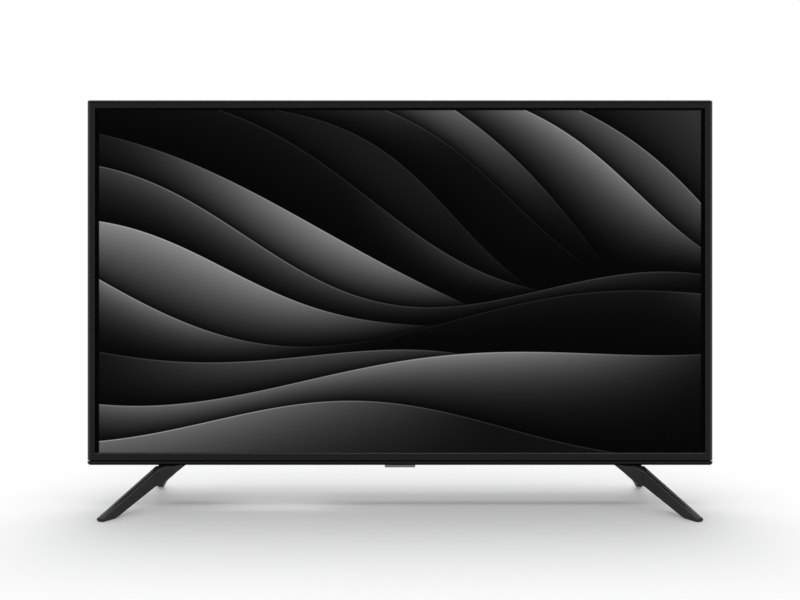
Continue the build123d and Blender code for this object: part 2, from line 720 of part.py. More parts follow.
with BuildPart() as aerial_socket:
    x = foot_x(FOOT_AERIAL_SHARE)
    top = MAIN_FOOT + AERIAL_BOX_DEPTH
    block(
        x - AERIAL_BOX_W / 2,
        x + AERIAL_BOX_W / 2,
        BOARD_BACK,
        BOARD_BACK + AERIAL_BOX_H,
        MAIN_FOOT,
        top,
    )
    with BuildSketch(at_height(MAIN_FOOT)):
        with Locations((x, FRONT_Y + BOARD_BACK + AERIAL_BOX_H / 2)):
            Circle(AERIAL_R)
    extrude(amount=-AERIAL_NOSE)
    with BuildSketch(at_height(MAIN_FOOT - AERIAL_NOSE)):
        with Locations((x, FRONT_Y + BOARD_BACK + AERIAL_BOX_H / 2)):
            Circle(AERIAL_BORE_R)
    extrude(amount=AERIAL_NOSE, mode=Mode.SUBTRACT)
aerial_socket.part.label = "aerial_socket"
export_step(aerial_socket.part, "parts/aerial_socket.step")

# Mains inlet on the power board: a figure-of-eight well with two pins
INLET_W = 22.0
INLET_H = 13.0
INLET_DEPTH = 18.0
INLET_LOBE_R = 4.4
INLET_PITCH = 8.6
INLET_WELL = 14.0
PIN_R = 1.2
PIN_LENGTH = 8.0
INLET_MIDDLE = BOARD_BACK + INLET_H / 2
INLET_Z = BOTTOM + POWER_BAY_FOOT + POWER_BAY_H / 2
with BuildPart() as mains_inlet:
    face = BAY_IN - SOCKET_FACE
    block(
        face - INLET_DEPTH,
        face,
        BOARD_BACK,
        BOARD_BACK + INLET_H,
        INLET_Z - INLET_W / 2,
        INLET_Z + INLET_W / 2,
    )
    with BuildSketch(at_x(face)):
        with Locations((FRONT_Y + INLET_MIDDLE, INLET_Z)):
            with GridLocations(INLET_PITCH, INLET_PITCH, 1, 2):
                Circle(INLET_LOBE_R)
            Rectangle(INLET_LOBE_R * 2, INLET_PITCH)
    extrude(amount=-INLET_WELL, mode=Mode.SUBTRACT)
    with BuildSketch(at_x(face - INLET_WELL)):
        with Locations((FRONT_Y + INLET_MIDDLE, INLET_Z)):
            with GridLocations(INLET_PITCH, INLET_PITCH, 1, 2):
                Circle(PIN_R)
    extrude(amount=PIN_LENGTH)
mains_inlet.part.label = "mains_inlet"
export_step(mains_inlet.part, "parts/mains_inlet.step")

# Parts on the boards
CHIP_W = 26.0
CHIP_T = 1.8
SINK_W = 44.0
SINK_BASE = 2.5
SINK_FIN_H = 10.0
SINK_FIN_T = 1.4
SINK_FINS = 8
CHIP_SHARES = (0.5, 0.55)  # across and up the main board
CHIP_X = MAIN_LEFT + CHIP_SHARES[0] * MAIN_W
CHIP_Z = MAIN_FOOT + CHIP_SHARES[1] * MAIN_H
MEMORY_W = 9.0
MEMORY_H = 13.0
MEMORY_T = 1.1
MEMORY_GAP = 34.0
with BuildPart() as board_chips:
    with BuildSketch(at_depth(BOARD_BACK)):
        with Locations((CHIP_X, CHIP_Z)):
            Rectangle(CHIP_W, CHIP_W)
    extrude(amount=-CHIP_T)
    with BuildSketch(at_depth(BOARD_BACK)):
        with Locations((CHIP_X + MEMORY_GAP, CHIP_Z)):
            with GridLocations(MEMORY_H, 2 * MEMORY_H, 1, 2):
                Rectangle(MEMORY_W, MEMORY_H)
        with Locations((0, TIMING_FOOT + TIMING_H / 2)):
            Rectangle(MEMORY_H, MEMORY_H)
    extrude(amount=-MEMORY_T)
board_chips.part.label = "board_chips"
export_step(board_chips.part, "parts/board_chips.step")

with BuildPart() as chip_heatsink:
    with BuildSketch(at_depth(BOARD_BACK + CHIP_T)):
        with Locations((CHIP_X, CHIP_Z)):
            Rectangle(SINK_W, SINK_W)
    extrude(amount=-SINK_BASE)
    with BuildSketch(at_depth(BOARD_BACK + CHIP_T + SINK_BASE)):
        with Locations((CHIP_X, CHIP_Z)):
            with GridLocations((SINK_W - SINK_FIN_T) / (SINK_FINS - 1), SINK_W, SINK_FINS, 1):
                Rectangle(SINK_FIN_T, SINK_W)
    extrude(amount=-SINK_FIN_H)
chip_heatsink.part.label = "chip_heatsink"
export_step(chip_heatsink.part, "parts/chip_heatsink.step")

# Power board: transformer, large capacitors, a filter choke and two cooling plates
def on_power_board(across_share, up_share):
    """Place on the power board at these shares of its width and height."""
    return POWER_LEFT + across_share * POWER_W, POWER_FOOT + up_share * POWER_H


TRANSFORMER_W = 32.0
TRANSFORMER_H = 28.0
TRANSFORMER_T = 22.0
TRANSFORMER_SHARES = (0.36, 0.62)
BULK_SHARES = (0.72, 0.78)
SMALL_CAP_SHARES = (0.2, 0.25)
CHOKE_SHARE = 0.7
COOLER_ACROSS_SHARE = 0.42
COOLER_SHARES = (0.4, 0.9)
COIL_W = 20.0
CORE_T = 6.0
with BuildPart() as transformer:
    centre_x, centre_z = on_power_board(*TRANSFORMER_SHARES)
    with BuildSketch(at_depth(BOARD_BACK)):
        with Locations((centre_x, centre_z)):
            RectangleRounded(COIL_W, TRANSFORMER_H, CORE_T / 2)
    extrude(amount=-TRANSFORMER_T)
    with BuildSketch(at_depth(BOARD_BACK + CORE_T)):
        with Locations((centre_x, centre_z)):
            Rectangle(TRANSFORMER_W, TRANSFORMER_H - 2 * CORE_T)
    extrude(amount=-(TRANSFORMER_T - 2 * CORE_T))
transformer.part.label = "transformer"
export_step(transformer.part, "parts/transformer.step")

BULK_R = 9.0
BULK_SHARE = 0.73  # of the room between the board and the back
BULK_H = BULK_SHARE * (BODY_DEPTH - COVER_WALL - BOARD_BACK)
SMALL_CAP_R = 4.0
SMALL_CAP_H = 12.0
SMALL_CAPS = 3
with BuildPart() as power_capacitors:
    with BuildSketch(at_depth(BOARD_BACK)):
        with Locations(on_power_board(*BULK_SHARES)):
            Circle(BULK_R)
    extrude(amount=-BULK_H)
    with BuildSketch(at_depth(BOARD_BACK)):
        with Locations(on_power_board(*SMALL_CAP_SHARES)):
            with GridLocations(3 * SMALL_CAP_R, SMALL_CAP_R, SMALL_CAPS, 1):
                Circle(SMALL_CAP_R)
    extrude(amount=-SMALL_CAP_H)
power_capacitors.part.label = "power_capacitors"
export_step(power_capacitors.part, "parts/power_capacitors.step")

CHOKE_W = 18.0
CHOKE_H = 20.0
CHOKE_T = 18.0
with BuildPart() as filter_choke:
    with BuildSketch(at_depth(BOARD_BACK)):
        with Locations((POWER_LEFT + CHOKE_SHARE * POWER_W, INLET_Z)):
            RectangleRounded(CHOKE_W, CHOKE_H, CHOKE_W / 4)
    extrude(amount=-CHOKE_T)
filter_choke.part.label = "filter_choke"
export_step(filter_choke.part, "parts/filter_choke.step")

COOLER_T = 2.0
COOLER_W = 40.0
COOLER_H = 24.0
COOLER_FOOT = 6.0
with BuildPart() as power_coolers:
    for share in COOLER_SHARES:
        with BuildSketch(at_depth(BOARD_BACK)):
            with Locations(on_power_board(COOLER_ACROSS_SHARE, share)):
                Rectangle(COOLER_W, COOLER_T)
                with Locations((0, -COOLER_FOOT / 2)):
                    Rectangle(COOLER_FOOT, COOLER_FOOT)
        extrude(amount=-COOLER_H)
power_coolers.part.label = "power_coolers"
export_step(power_coolers.part, "parts/power_coolers.step")

# Source boards along the foot of the back plate, and the ribbons from the glass to them
SOURCE_NEAR = 26.0
SOURCE_END = 55.7  # from the panel's side
SOURCE_FAR = PANEL_HALF - SOURCE_END
SOURCE_H = 14.0
SOURCE_RISE = 3.0  # above the edge of the back plate's floor
SOURCE_FOOT = PANEL_FOOT + PLATE_FLOOR_IN + SOURCE_RISE
with BuildPart() as source_boards:
    with BuildSketch(at_depth(PLATE_BACK)):
        for side in (-1, 1):
            near = side * SOURCE_NEAR
            far = side * SOURCE_FAR
            span(min(near, far), max(near, far), SOURCE_FOOT, SOURCE_FOOT + SOURCE_H)
    extrude(amount=-BOARD_T)
source_boards.part.label = "source_boards"
export_step(source_boards.part, "parts/source_boards.step")

RIBBON_T = 0.2
RIBBON_W = 34.0
RIBBONS_EACH_SIDE = 4
RIBBON_FIRST = 45.0
RIBBON_LAST = 75.0  # from the board's far end
RIBBON_PITCH = (SOURCE_FAR - RIBBON_FIRST - RIBBON_LAST) / (RIBBONS_EACH_SIDE - 1)
RIBBON_BEND = 0.8
RIBBON_ON_GLASS = 1.6
RIBBON_ON_BOARD = 6.0
ribbon_run = (INNER_FOOT + PANEL_FOOT - MID_OUT) / 2
ribbon_front = FRONT_Y + ARRAY_FRONT - RIBBON_T / 2
ribbon_back = FRONT_Y + PLATE_BACK + BOARD_T + RIBBON_T / 2
with BuildPart() as panel_ribbons:
    with BuildSketch(Plane.YZ) as ribbon_section:
        with BuildLine() as ribbon_line:
            FilletPolyline(
                (ribbon_front, PANEL_FOOT + RIBBON_ON_GLASS),
                (ribbon_front, ribbon_run),
                (ribbon_back, ribbon_run),
                (ribbon_back, SOURCE_FOOT + RIBBON_ON_BOARD),
                radius=RIBBON_BEND,
            )
        trace(ribbon_line.line, line_width=RIBBON_T)
    for side in (-1, 1):
        for count in range(RIBBONS_EACH_SIDE):
            middle = side * (RIBBON_FIRST + count * RIBBON_PITCH)
            face = ribbon_section.sketch.face().moved(Location((middle - RIBBON_W / 2, 0, 0)))
            extrude(face, amount=RIBBON_W, dir=(1, 0, 0))
panel_ribbons.part.label = "panel_ribbons"
export_step(panel_ribbons.part, "parts/panel_ribbons.step")

# Flat cables: from the main board to the timing board, and from that to the source boards
PLUG_W = 8.0
PLUG_T = 2.6
PLUG_IN = 4.4  # from the main board's inner edge
WIDE_PLUG_H = 24.0
WIDE_PLUG_RISE = 13.0  # above the timing board's foot
TIMING_PLUG_IN = 2.0
SOURCE_PLUG_W = 12.0
SOURCE_PLUG_H = 4.0
SOURCE_PLUG_RISE = 6.4
FLAT_T = 0.3
FLAT_W = 10.0
FLAT_LIFT = 2.15  # of a cable's middle above its board
FLAT_RISE = 26.0  # straight run above the source board's plug
FLAT_STEP = 8.0  # height over which it steps back to the timing board
FLAT_BEND = 1.5
LOW_PLUG_H = 3.0
SUPPLY_PLUG_H = 14.0
SUPPLY_PLUG_T = 6.0
SUPPLY_DROP = 32.0  # below the main board's head
SUPPLY_LEADS = 5
SUPPLY_LEAD_R = 0.9
SUPPLY_PITCH = 2.2
main_plug_right = MAIN_RIGHT - PLUG_IN
timing_plug_left = -TIMING_W / 2 + TIMING_PLUG_IN
wide_foot = TIMING_FOOT + WIDE_PLUG_RISE - BOARD_EDGE / 2
source_plug_foot = SOURCE_FOOT + SOURCE_PLUG_RISE
supply_z = MAIN_HEAD - SUPPLY_DROP
power_plug_left = POWER_LEFT + PLUG_IN
with BuildPart() as board_plugs:
    block(
        main_plug_right - PLUG_W,
        main_plug_right,
        BOARD_BACK,
        BOARD_BACK + PLUG_T,
        wide_foot,
        wide_foot + WIDE_PLUG_H,
    )
    block(
        timing_plug_left,
        timing_plug_left + PLUG_W,
        BOARD_BACK,
        BOARD_BACK + PLUG_T,
        wide_foot,
        wide_foot + WIDE_PLUG_H - BOARD_EDGE,
    )
    for side in (-1, 1):
        near = side * SOURCE_NEAR
        far = side * (SOURCE_NEAR + SOURCE_PLUG_W)
        block(
            near,
            far,
            PLATE_BACK + BOARD_T,
            PLATE_BACK + BOARD_T + PLUG_T,
            source_plug_foot,
            source_plug_foot + SOURCE_PLUG_H,
        )
        block(near, far, BOARD_BACK, BOARD_BACK + PLUG_T, TIMING_FOOT, TIMING_FOOT + LOW_PLUG_H)
    for left in (main_plug_right - PLUG_W, power_plug_left):
        block(
            left,
            left + PLUG_W,
            BOARD_BACK,
            BOARD_BACK + SUPPLY_PLUG_T,
            supply_z - SUPPLY_PLUG_H / 2,
            supply_z + SUPPLY_PLUG_H / 2,
        )
board_plugs.part.label = "board_plugs"
export_step(board_plugs.part, "parts/board_plugs.step")

with BuildPart() as flat_cables:
    block(
        main_plug_right,
        timing_plug_left,
        BOARD_BACK + FLAT_LIFT - FLAT_T / 2,
        BOARD_BACK + FLAT_LIFT + FLAT_T / 2,
        wide_foot + TONGUE_T,
        wide_foot + WIDE_PLUG_H - BOARD_EDGE - TONGUE_T,
    )
    low_y = FRONT_Y + PLATE_BACK + BOARD_T + PLUG_T / 2
    high_y = FRONT_Y + BOARD_BACK + PLUG_T / 2
    low_z = source_plug_foot + SOURCE_PLUG_H
    with BuildSketch(Plane.YZ) as flat_section:
        with BuildLine() as flat_line:
            FilletPolyline(
                (low_y, low_z),
                (low_y, low_z + FLAT_RISE),
                (high_y, low_z + FLAT_RISE + FLAT_STEP),
                (high_y, TIMING_FOOT),
                radius=FLAT_BEND,
            )
        trace(flat_line.line, line_width=FLAT_T)
    for side in (-1, 1):
        middle = side * (SOURCE_NEAR + SOURCE_PLUG_W / 2)
        face = flat_section.sketch.face().moved(Location((middle - FLAT_W / 2, 0, 0)))
        extrude(face, amount=FLAT_W, dir=(1, 0, 0))
flat_cables.part.label = "flat_cables"
export_step(flat_cables.part, "parts/flat_cables.step")

with BuildPart() as supply_leads:
    for place in range(SUPPLY_LEADS):
        z = supply_z + (place - (SUPPLY_LEADS - 1) / 2) * SUPPLY_PITCH
        with BuildSketch(at_x(main_plug_right)):
            with Locations((FRONT_Y + BOARD_BACK + SUPPLY_PLUG_T / 2, z)):
                Circle(SUPPLY_LEAD_R)
        extrude(amount=power_plug_left - main_plug_right)
supply_leads.part.label = "supply_leads"
export_step(supply_leads.part, "parts/supply_leads.step")

# Radio module for the network: a small board on the back plate, with a tin over its chips
RADIO_W = 34.0
RADIO_H = 18.0
RADIO_T = 1.0
RADIO_RISE = 152.0  # above the underside
TIN_W = 24.0
TIN_H = 13.0
TIN_T = 1.8
with BuildPart() as radio_module:
    with BuildSketch(at_depth(PLATE_BACK)):
        with Locations((0, BOTTOM + RADIO_RISE)):
            Rectangle(RADIO_W, RADIO_H)
    extrude(amount=-RADIO_T)
radio_module.part.label = "radio_module"
export_step(radio_module.part, "parts/radio_module.step")

with BuildPart() as radio_tin:
    with BuildSketch(at_depth(PLATE_BACK + RADIO_T)):
        with Locations((0, BOTTOM + RADIO_RISE)):
            Rectangle(TIN_W, TIN_H)
    extrude(amount=-TIN_T)
radio_tin.part.label = "radio_tin"
export_step(radio_tin.part, "parts/radio_tin.step")

# Sensor board over the tab, with the receiver and the key's switch under it
SENSOR_HALF = 22.0
SENSOR_FRONT = 16.8
SENSOR_BACK = 41.0
RECEIVER_W = 7.0
RECEIVER_D = 3.6
RECEIVER_GAP = 0.3
FLANGE_TOP = BOTTOM + COVER_WALL + KEY_FLANGE_T
NUB_TOP = FLANGE_TOP + KEY_NUB_H
SWITCH_FOOT = NUB_TOP + KEY_TRAVEL + KEY_PLAY
SENSOR_Z = SWITCH_FOOT + SWITCH_H
SENSOR_T = 1.6
SENSOR_POST_W = 4.0
with BuildPart() as sensor_board:
    block(-SENSOR_HALF, SENSOR_HALF, SENSOR_FRONT, SENSOR_BACK, SENSOR_Z, SENSOR_Z + SENSOR_T)
sensor_board.part.label = "sensor_board"
export_step(sensor_board.part, "parts/sensor_board.step")

with BuildPart() as remote_receiver:
    block(
        -RECEIVER_W / 2,
        RECEIVER_W / 2,
        GUIDE_AT - RECEIVER_D / 2 + CLEARANCE,
        GUIDE_AT + RECEIVER_D / 2,
        BOTTOM + GUIDE_HEIGHT + RECEIVER_GAP,
        SENSOR_Z,
    )
remote_receiver.part.label = "remote_receiver"
export_step(remote_receiver.part, "parts/remote_receiver.step")

with BuildPart() as key_switch:
    with BuildSketch(at_height(SWITCH_FOOT)):
        with Locations((0, FRONT_Y + KEY_AT)):
            Circle(SWITCH_R)
    extrude(amount=SWITCH_H)
key_switch.part.label = "key_switch"
export_step(key_switch.part, "parts/key_switch.step")

with BuildPart() as power_key:
    block(
        -KEY_W / 2,
        KEY_W / 2,
        KEY_AT - KEY_DEPTH / 2,
        KEY_AT + KEY_DEPTH / 2,
        BOTTOM - KEY_DROP,
        BOTTOM + COVER_WALL,
    )
    block(
        -KEY_W / 2 - KEY_FLANGE,
        KEY_W / 2 + KEY_FLANGE,
        KEY_AT - KEY_DEPTH / 2 - KEY_FLANGE,
        KEY_AT + KEY_DEPTH / 2 + KEY_FLANGE,
        BOTTOM + COVER_WALL,
        FLANGE_TOP,
    )
    with BuildSketch(at_height(FLANGE_TOP)):
        with Locations((0, FRONT_Y + KEY_AT)):
            Circle(KEY_NUB)
    extrude(amount=NUB_TOP - FLANGE_TOP)
power_key.part.label = "power_key"
export_step(power_key.part, "parts/power_key.step")

# Speakers: closed boxes at both ends that fire down through slots in the cover
SPEAKER_IN = 117.5  # from the body's side
SPEAKER_X = HALF_W - SPEAKER_IN
SPEAKER_BACK = 19.0  # from its middle to the back of the body
SPEAKER_AT = BODY_DEPTH - SPEAKER_BACK
SPEAKER_W = 80.0
SPEAKER_D = 32.0
SPEAKER_H = 46.0
SPEAKER_WALL = 2.0
SPEAKER_LIFT = 1.8
CONE_R = 10.8
FRAME_GAP = 0.3
FRAME_R = 13.6
FRAME_T = 1.2
BASKET_T = 0.6
BASKET_H = 9.0
BASKET_SIDE = 2.4
NECK_R = 3.9
COIL_T = 0.5
COIL_GAP = 0.35
POLE_R = 3.0
MAGNET_R = 9.0
MAGNET_H = 8.0
MAGNET_PLATE = 1.2
CONE_T = 0.5
CONE_RISE = 5.0
CONE_TRAVEL = 1.0
BOX_FLOOR = BOTTOM + COVER_WALL + SPEAKER_LIFT + SPEAKER_WALL


def around(x, depth):
    """Upright plane through a vertical axis, its first direction the radius."""
    return Plane(origin=(x, FRONT_Y + depth, 0), x_dir=(1, 0, 0), z_dir=(0, -1, 0))


def axis_at(x, depth):
    """That vertical axis."""
    return Axis((x, FRONT_Y + depth, 0), (0, 0, 1))


with BuildPart() as speaker_boxes:
    for side in (-1, 1):
        x = side * SPEAKER_X
        low = BOX_FLOOR - SPEAKER_WALL
        front = SPEAKER_AT - SPEAKER_D / 2
        back = SPEAKER_AT + SPEAKER_D / 2
        block(x - SPEAKER_W / 2, x + SPEAKER_W / 2, front, back, low, low + SPEAKER_H)
        block(
            x - SPEAKER_W / 2 + SPEAKER_WALL,
            x + SPEAKER_W / 2 - SPEAKER_WALL,
            front + SPEAKER_WALL,
            back - SPEAKER_WALL,
            BOX_FLOOR,
            low + SPEAKER_H - SPEAKER_WALL,
            mode=Mode.SUBTRACT,
        )
        with BuildSketch(at_height(low - RUN_OUT)):
            with Locations((x, FRONT_Y + SPEAKER_AT)):
                Circle(CONE_R + FRAME_GAP)
        extrude(amount=SPEAKER_WALL + 2 * RUN_OUT, mode=Mode.SUBTRACT)
speaker_boxes.part.label = "speaker_boxes"
export_step(speaker_boxes.part, "parts/speaker_boxes.step")

GASKET_W = 2.5
with BuildPart() as speaker_gaskets:
    with BuildSketch(at_height(BOTTOM + COVER_WALL)):
        with Locations(
            (-SPEAKER_X, FRONT_Y + SPEAKER_AT),
            (SPEAKER_X, FRONT_Y + SPEAKER_AT),
        ):
            Circle(CONE_R + FRAME_GAP + GASKET_W)
            Circle(CONE_R + FRAME_GAP, mode=Mode.SUBTRACT)
    extrude(amount=SPEAKER_LIFT)
speaker_gaskets.part.label = "speaker_gaskets"
export_step(speaker_gaskets.part, "parts/speaker_gaskets.step")

frame_in = CONE_R + FRAME_GAP
plate_z = BOX_FLOOR + FRAME_T + BASKET_H
with BuildPart() as speaker_frames:
    for side in (-1, 1):
        x = side * SPEAKER_X
        with BuildSketch(around(x, SPEAKER_AT)):
            with BuildLine():
                Polyline(
                    (frame_in, BOX_FLOOR),
                    (FRAME_R, BOX_FLOOR),
                    (FRAME_R, BOX_FLOOR + FRAME_T + BASKET_SIDE),
                    (MAGNET_R, plate_z),
                    (MAGNET_R, plate_z + MAGNET_PLATE),
                    (NECK_R + COIL_GAP, plate_z + MAGNET_PLATE),
                    (NECK_R + COIL_GAP, plate_z),
                    (MAGNET_R - BASKET_T, plate_z),
                    (FRAME_R - BASKET_T, BOX_FLOOR + FRAME_T + BASKET_SIDE),
                    (FRAME_R - BASKET_T, BOX_FLOOR + FRAME_T),
                    (frame_in, BOX_FLOOR + FRAME_T),
                    close=True,
                )
            make_face()
        revolve(axis=axis_at(x, SPEAKER_AT))
speaker_frames.part.label = "speaker_frames"
export_step(speaker_frames.part, "parts/speaker_frames.step")

magnet_z = plate_z + MAGNET_PLATE
with BuildPart() as speaker_magnets:
    for side in (-1, 1):
        x = side * SPEAKER_X
        with BuildSketch(around(x, SPEAKER_AT)):
            with BuildLine():
                Polyline(
                    (0, plate_z),
                    (POLE_R, plate_z),
                    (POLE_R, magnet_z + MAGNET_H / 2),
                    (NECK_R + COIL_GAP, magnet_z + MAGNET_H / 2),
                    (NECK_R + COIL_GAP, magnet_z),
                    (MAGNET_R, magnet_z),
                    (MAGNET_R, magnet_z + MAGNET_H),
                    (0, magnet_z + MAGNET_H),
                    close=True,
                )
            make_face()
        revolve(axis=axis_at(x, SPEAKER_AT))
speaker_magnets.part.label = "speaker_magnets"
export_step(speaker_magnets.part, "parts/speaker_magnets.step")

SURROUND_R = 0.9
SURROUND_T = 0.4
with BuildPart() as speaker_surrounds:
    for side in (-1, 1):
        x = side * SPEAKER_X
        roll_z = BOX_FLOOR + FRAME_T
        roll_r = frame_in + SURROUND_R
        with BuildSketch(around(x, SPEAKER_AT)):
            with Locations((roll_r, roll_z)):
                Circle(SURROUND_R)
                Circle(SURROUND_R - SURROUND_T, mode=Mode.SUBTRACT)
            span(frame_in - RUN_OUT, FRAME_R + RUN_OUT, roll_z - RUN_OUT, roll_z, mode=Mode.SUBTRACT)
        revolve(axis=axis_at(x, SPEAKER_AT))
speaker_surrounds.part.label = "speaker_surrounds"
export_step(speaker_surrounds.part, "parts/speaker_surrounds.step")


def cone(x):
    """Speaker cone with its dust cap and voice coil, turned about the vertical axis."""
    rim_z = BOX_FLOOR + FRAME_T / 2
    neck_z = rim_z + CONE_RISE
    coil_top = plate_z + MAGNET_PLATE + CONE_TRAVEL
    with BuildPart() as turned:
        with BuildSketch(around(x, SPEAKER_AT)):
            with BuildLine():
                Polyline(
                    (CONE_R, rim_z),
                    (CONE_R, rim_z + CONE_T),
                    (NECK_R, neck_z + CONE_T),
                    (NECK_R, coil_top),
                    (NECK_R - COIL_T, coil_top),
                    (NECK_R - COIL_T, neck_z + CONE_T),
                    (0, neck_z + CONE_T),
                    (0, neck_z),
                    (NECK_R, neck_z),
                    close=True,
                )
            make_face()
        revolve(axis=axis_at(x, SPEAKER_AT))
    return turned.part


with BuildPart() as speaker_cone_left:
    add(cone(-SPEAKER_X))
speaker_cone_left.part.label = "speaker_cone_left"
export_step(speaker_cone_left.part, "parts/speaker_cone_left.step")

with BuildPart() as speaker_cone_right:
    add(cone(SPEAKER_X))
speaker_cone_right.part.label = "speaker_cone_right"
export_step(speaker_cone_right.part, "parts/speaker_cone_right.step")

# Feet: two blades each, splayed out from a pad under the body. Left one, seen from the front.
LEG_T = 7.5
LEG_TIP_IN = 36.2  # from the body's side, seen from the front
LEG_TIP_X = HALF_W - LEG_TIP_IN
LEG_TIP_SIDE = 2.4  # how far the tip's outer corner lies behind its inner one
LEG_SPLAY_SHARE = 0.54  # how far the front blade runs sideways for its run to the back
LEG_CUT_SHARE = 1.0  # the tip's cut, as a share of the blade's thickness seen along Y
REAR_TIP_IN = 63.0
REAR_TIP_X = HALF_W - REAR_TIP_IN
REAR_SPLAY_SHARE = 0.38
REAR_T = 9.0
PAD_IN = 114.0
PAD_X = HALF_W - PAD_IN
PAD_DEPTHS = (3.0, 40.0)  # its front and back edge, behind the face
PAD_FRONT = FRONT_Y + PAD_DEPTHS[0]
PAD_BACK = FRONT_Y + PAD_DEPTHS[1]
FOOT_PAD_T = 1.2
FOOT_PAD_IN = 0.8
TIP_H = 2.2
FOOT_RUN = 19.0  # length of the front foot that lies on the floor
REAR_FOOT_RUN = 7.0
ARCH_Z = 23.8
ARCH_DEPTHS = (-8.0, 46.0)
ARCH_FRONT = FRONT_Y + ARCH_DEPTHS[0]
ARCH_BACK = FRONT_Y + ARCH_DEPTHS[1]
ARCH_R = 9.0
WEB_KNEE_OUT = 18.0  # outside the pad's inner end
WEB_KNEE_Z = 31.5
WEB_FOOT_OUT = 26.0
WEB_KNEE_X = PAD_X + WEB_KNEE_OUT
WEB_FOOT_X = PAD_X + WEB_FOOT_OUT
TONGUE_OUT = 24.5
TONGUE_W = 12.0
TONGUE_DEPTHS = (19.0, 33.0)
TONGUE_RIGHT = PAD_X + TONGUE_OUT
TONGUE_LEFT = TONGUE_RIGHT + TONGUE_W
TONGUE_FRONT = FRONT_Y + TONGUE_DEPTHS[0]
TONGUE_BACK = FRONT_Y + TONGUE_DEPTHS[1]
TONGUE_H = 11.0
TONGUE_PLAY = 0.3
SOCKET_WALL = 1.6
LEG_SCREW_OUT = 17.5
LEG_SCREW_DEPTHS = (20.0, 32.0)
LEG_SCREW_X = PAD_X + LEG_SCREW_OUT
LEG_SCREW_YS = (FRONT_Y + LEG_SCREW_DEPTHS[0], FRONT_Y + LEG_SCREW_DEPTHS[1])
LEG_SCREW_R = 1.9
LEG_SCREW_LENGTH = 13.0
LEG_HEAD_R = 3.8
LEG_HEAD_H = 3.0
LEG_HEAD_PLAY = 0.5
LEG_SEAT = 4.0
LEG_BOSS_R = 4.6
LEG_BOSS_H = 10.0
LEG_EDGE = 1.2
SHOULDER_FALL = ((6.0, 0.0), (14.0, 1.4), (21.0, 2.0), (30.0, 3.6), (36.0, 5.1))  # out, down
SHOULDER_DEPTH = 9.0  # behind the pad's front
KNEE_R = 28.0  # the front blade's inner face turns into the pad's front
HUB_IN = 2.0  # the rear blade's outer face starts this far before the pad's back
HALF_STAND = STAND_DEPTH / 2

# Plan of the left foot. The front blade's two faces run parallel from the tip to the pad.
tip_inner = (-LEG_TIP_X + LEG_T * LEG_CUT_SHARE, -HALF_STAND)
tip_outer = (-LEG_TIP_X, -HALF_STAND + LEG_TIP_SIDE)
knee_y = PAD_FRONT
outer_knee = (tip_outer[0] + LEG_SPLAY_SHARE * (knee_y - tip_outer[1]), knee_y)
inner_knee = (tip_inner[0] + LEG_SPLAY_SHARE * (knee_y - tip_inner[1]), knee_y)
rear_inner = (-REAR_TIP_X, HALF_STAND)
rear_outer = (-REAR_TIP_X - REAR_T, HALF_STAND)
rear_knee_y = PAD_BACK
rear_inner_knee = (rear_inner[0] + REAR_SPLAY_SHARE * (HALF_STAND - rear_knee_y), rear_knee_y)
rear_outer_knee_y = PAD_BACK - HUB_IN
rear_outer_knee = (
    rear_outer[0] + REAR_SPLAY_SHARE * (HALF_STAND - rear_outer_knee_y),
    rear_outer_knee_y,
)


def leg_plan():
    """Outline of the left foot seen from above, ready to be made a face."""
    Polyline(
        tip_outer,
        tip_inner,
        inner_knee,
        (-PAD_X, PAD_FRONT),
        (-PAD_X, PAD_BACK),
        rear_inner_knee,
        rear_inner,
        rear_outer,
        rear_outer_knee,
        outer_knee,
        close=True,
    )


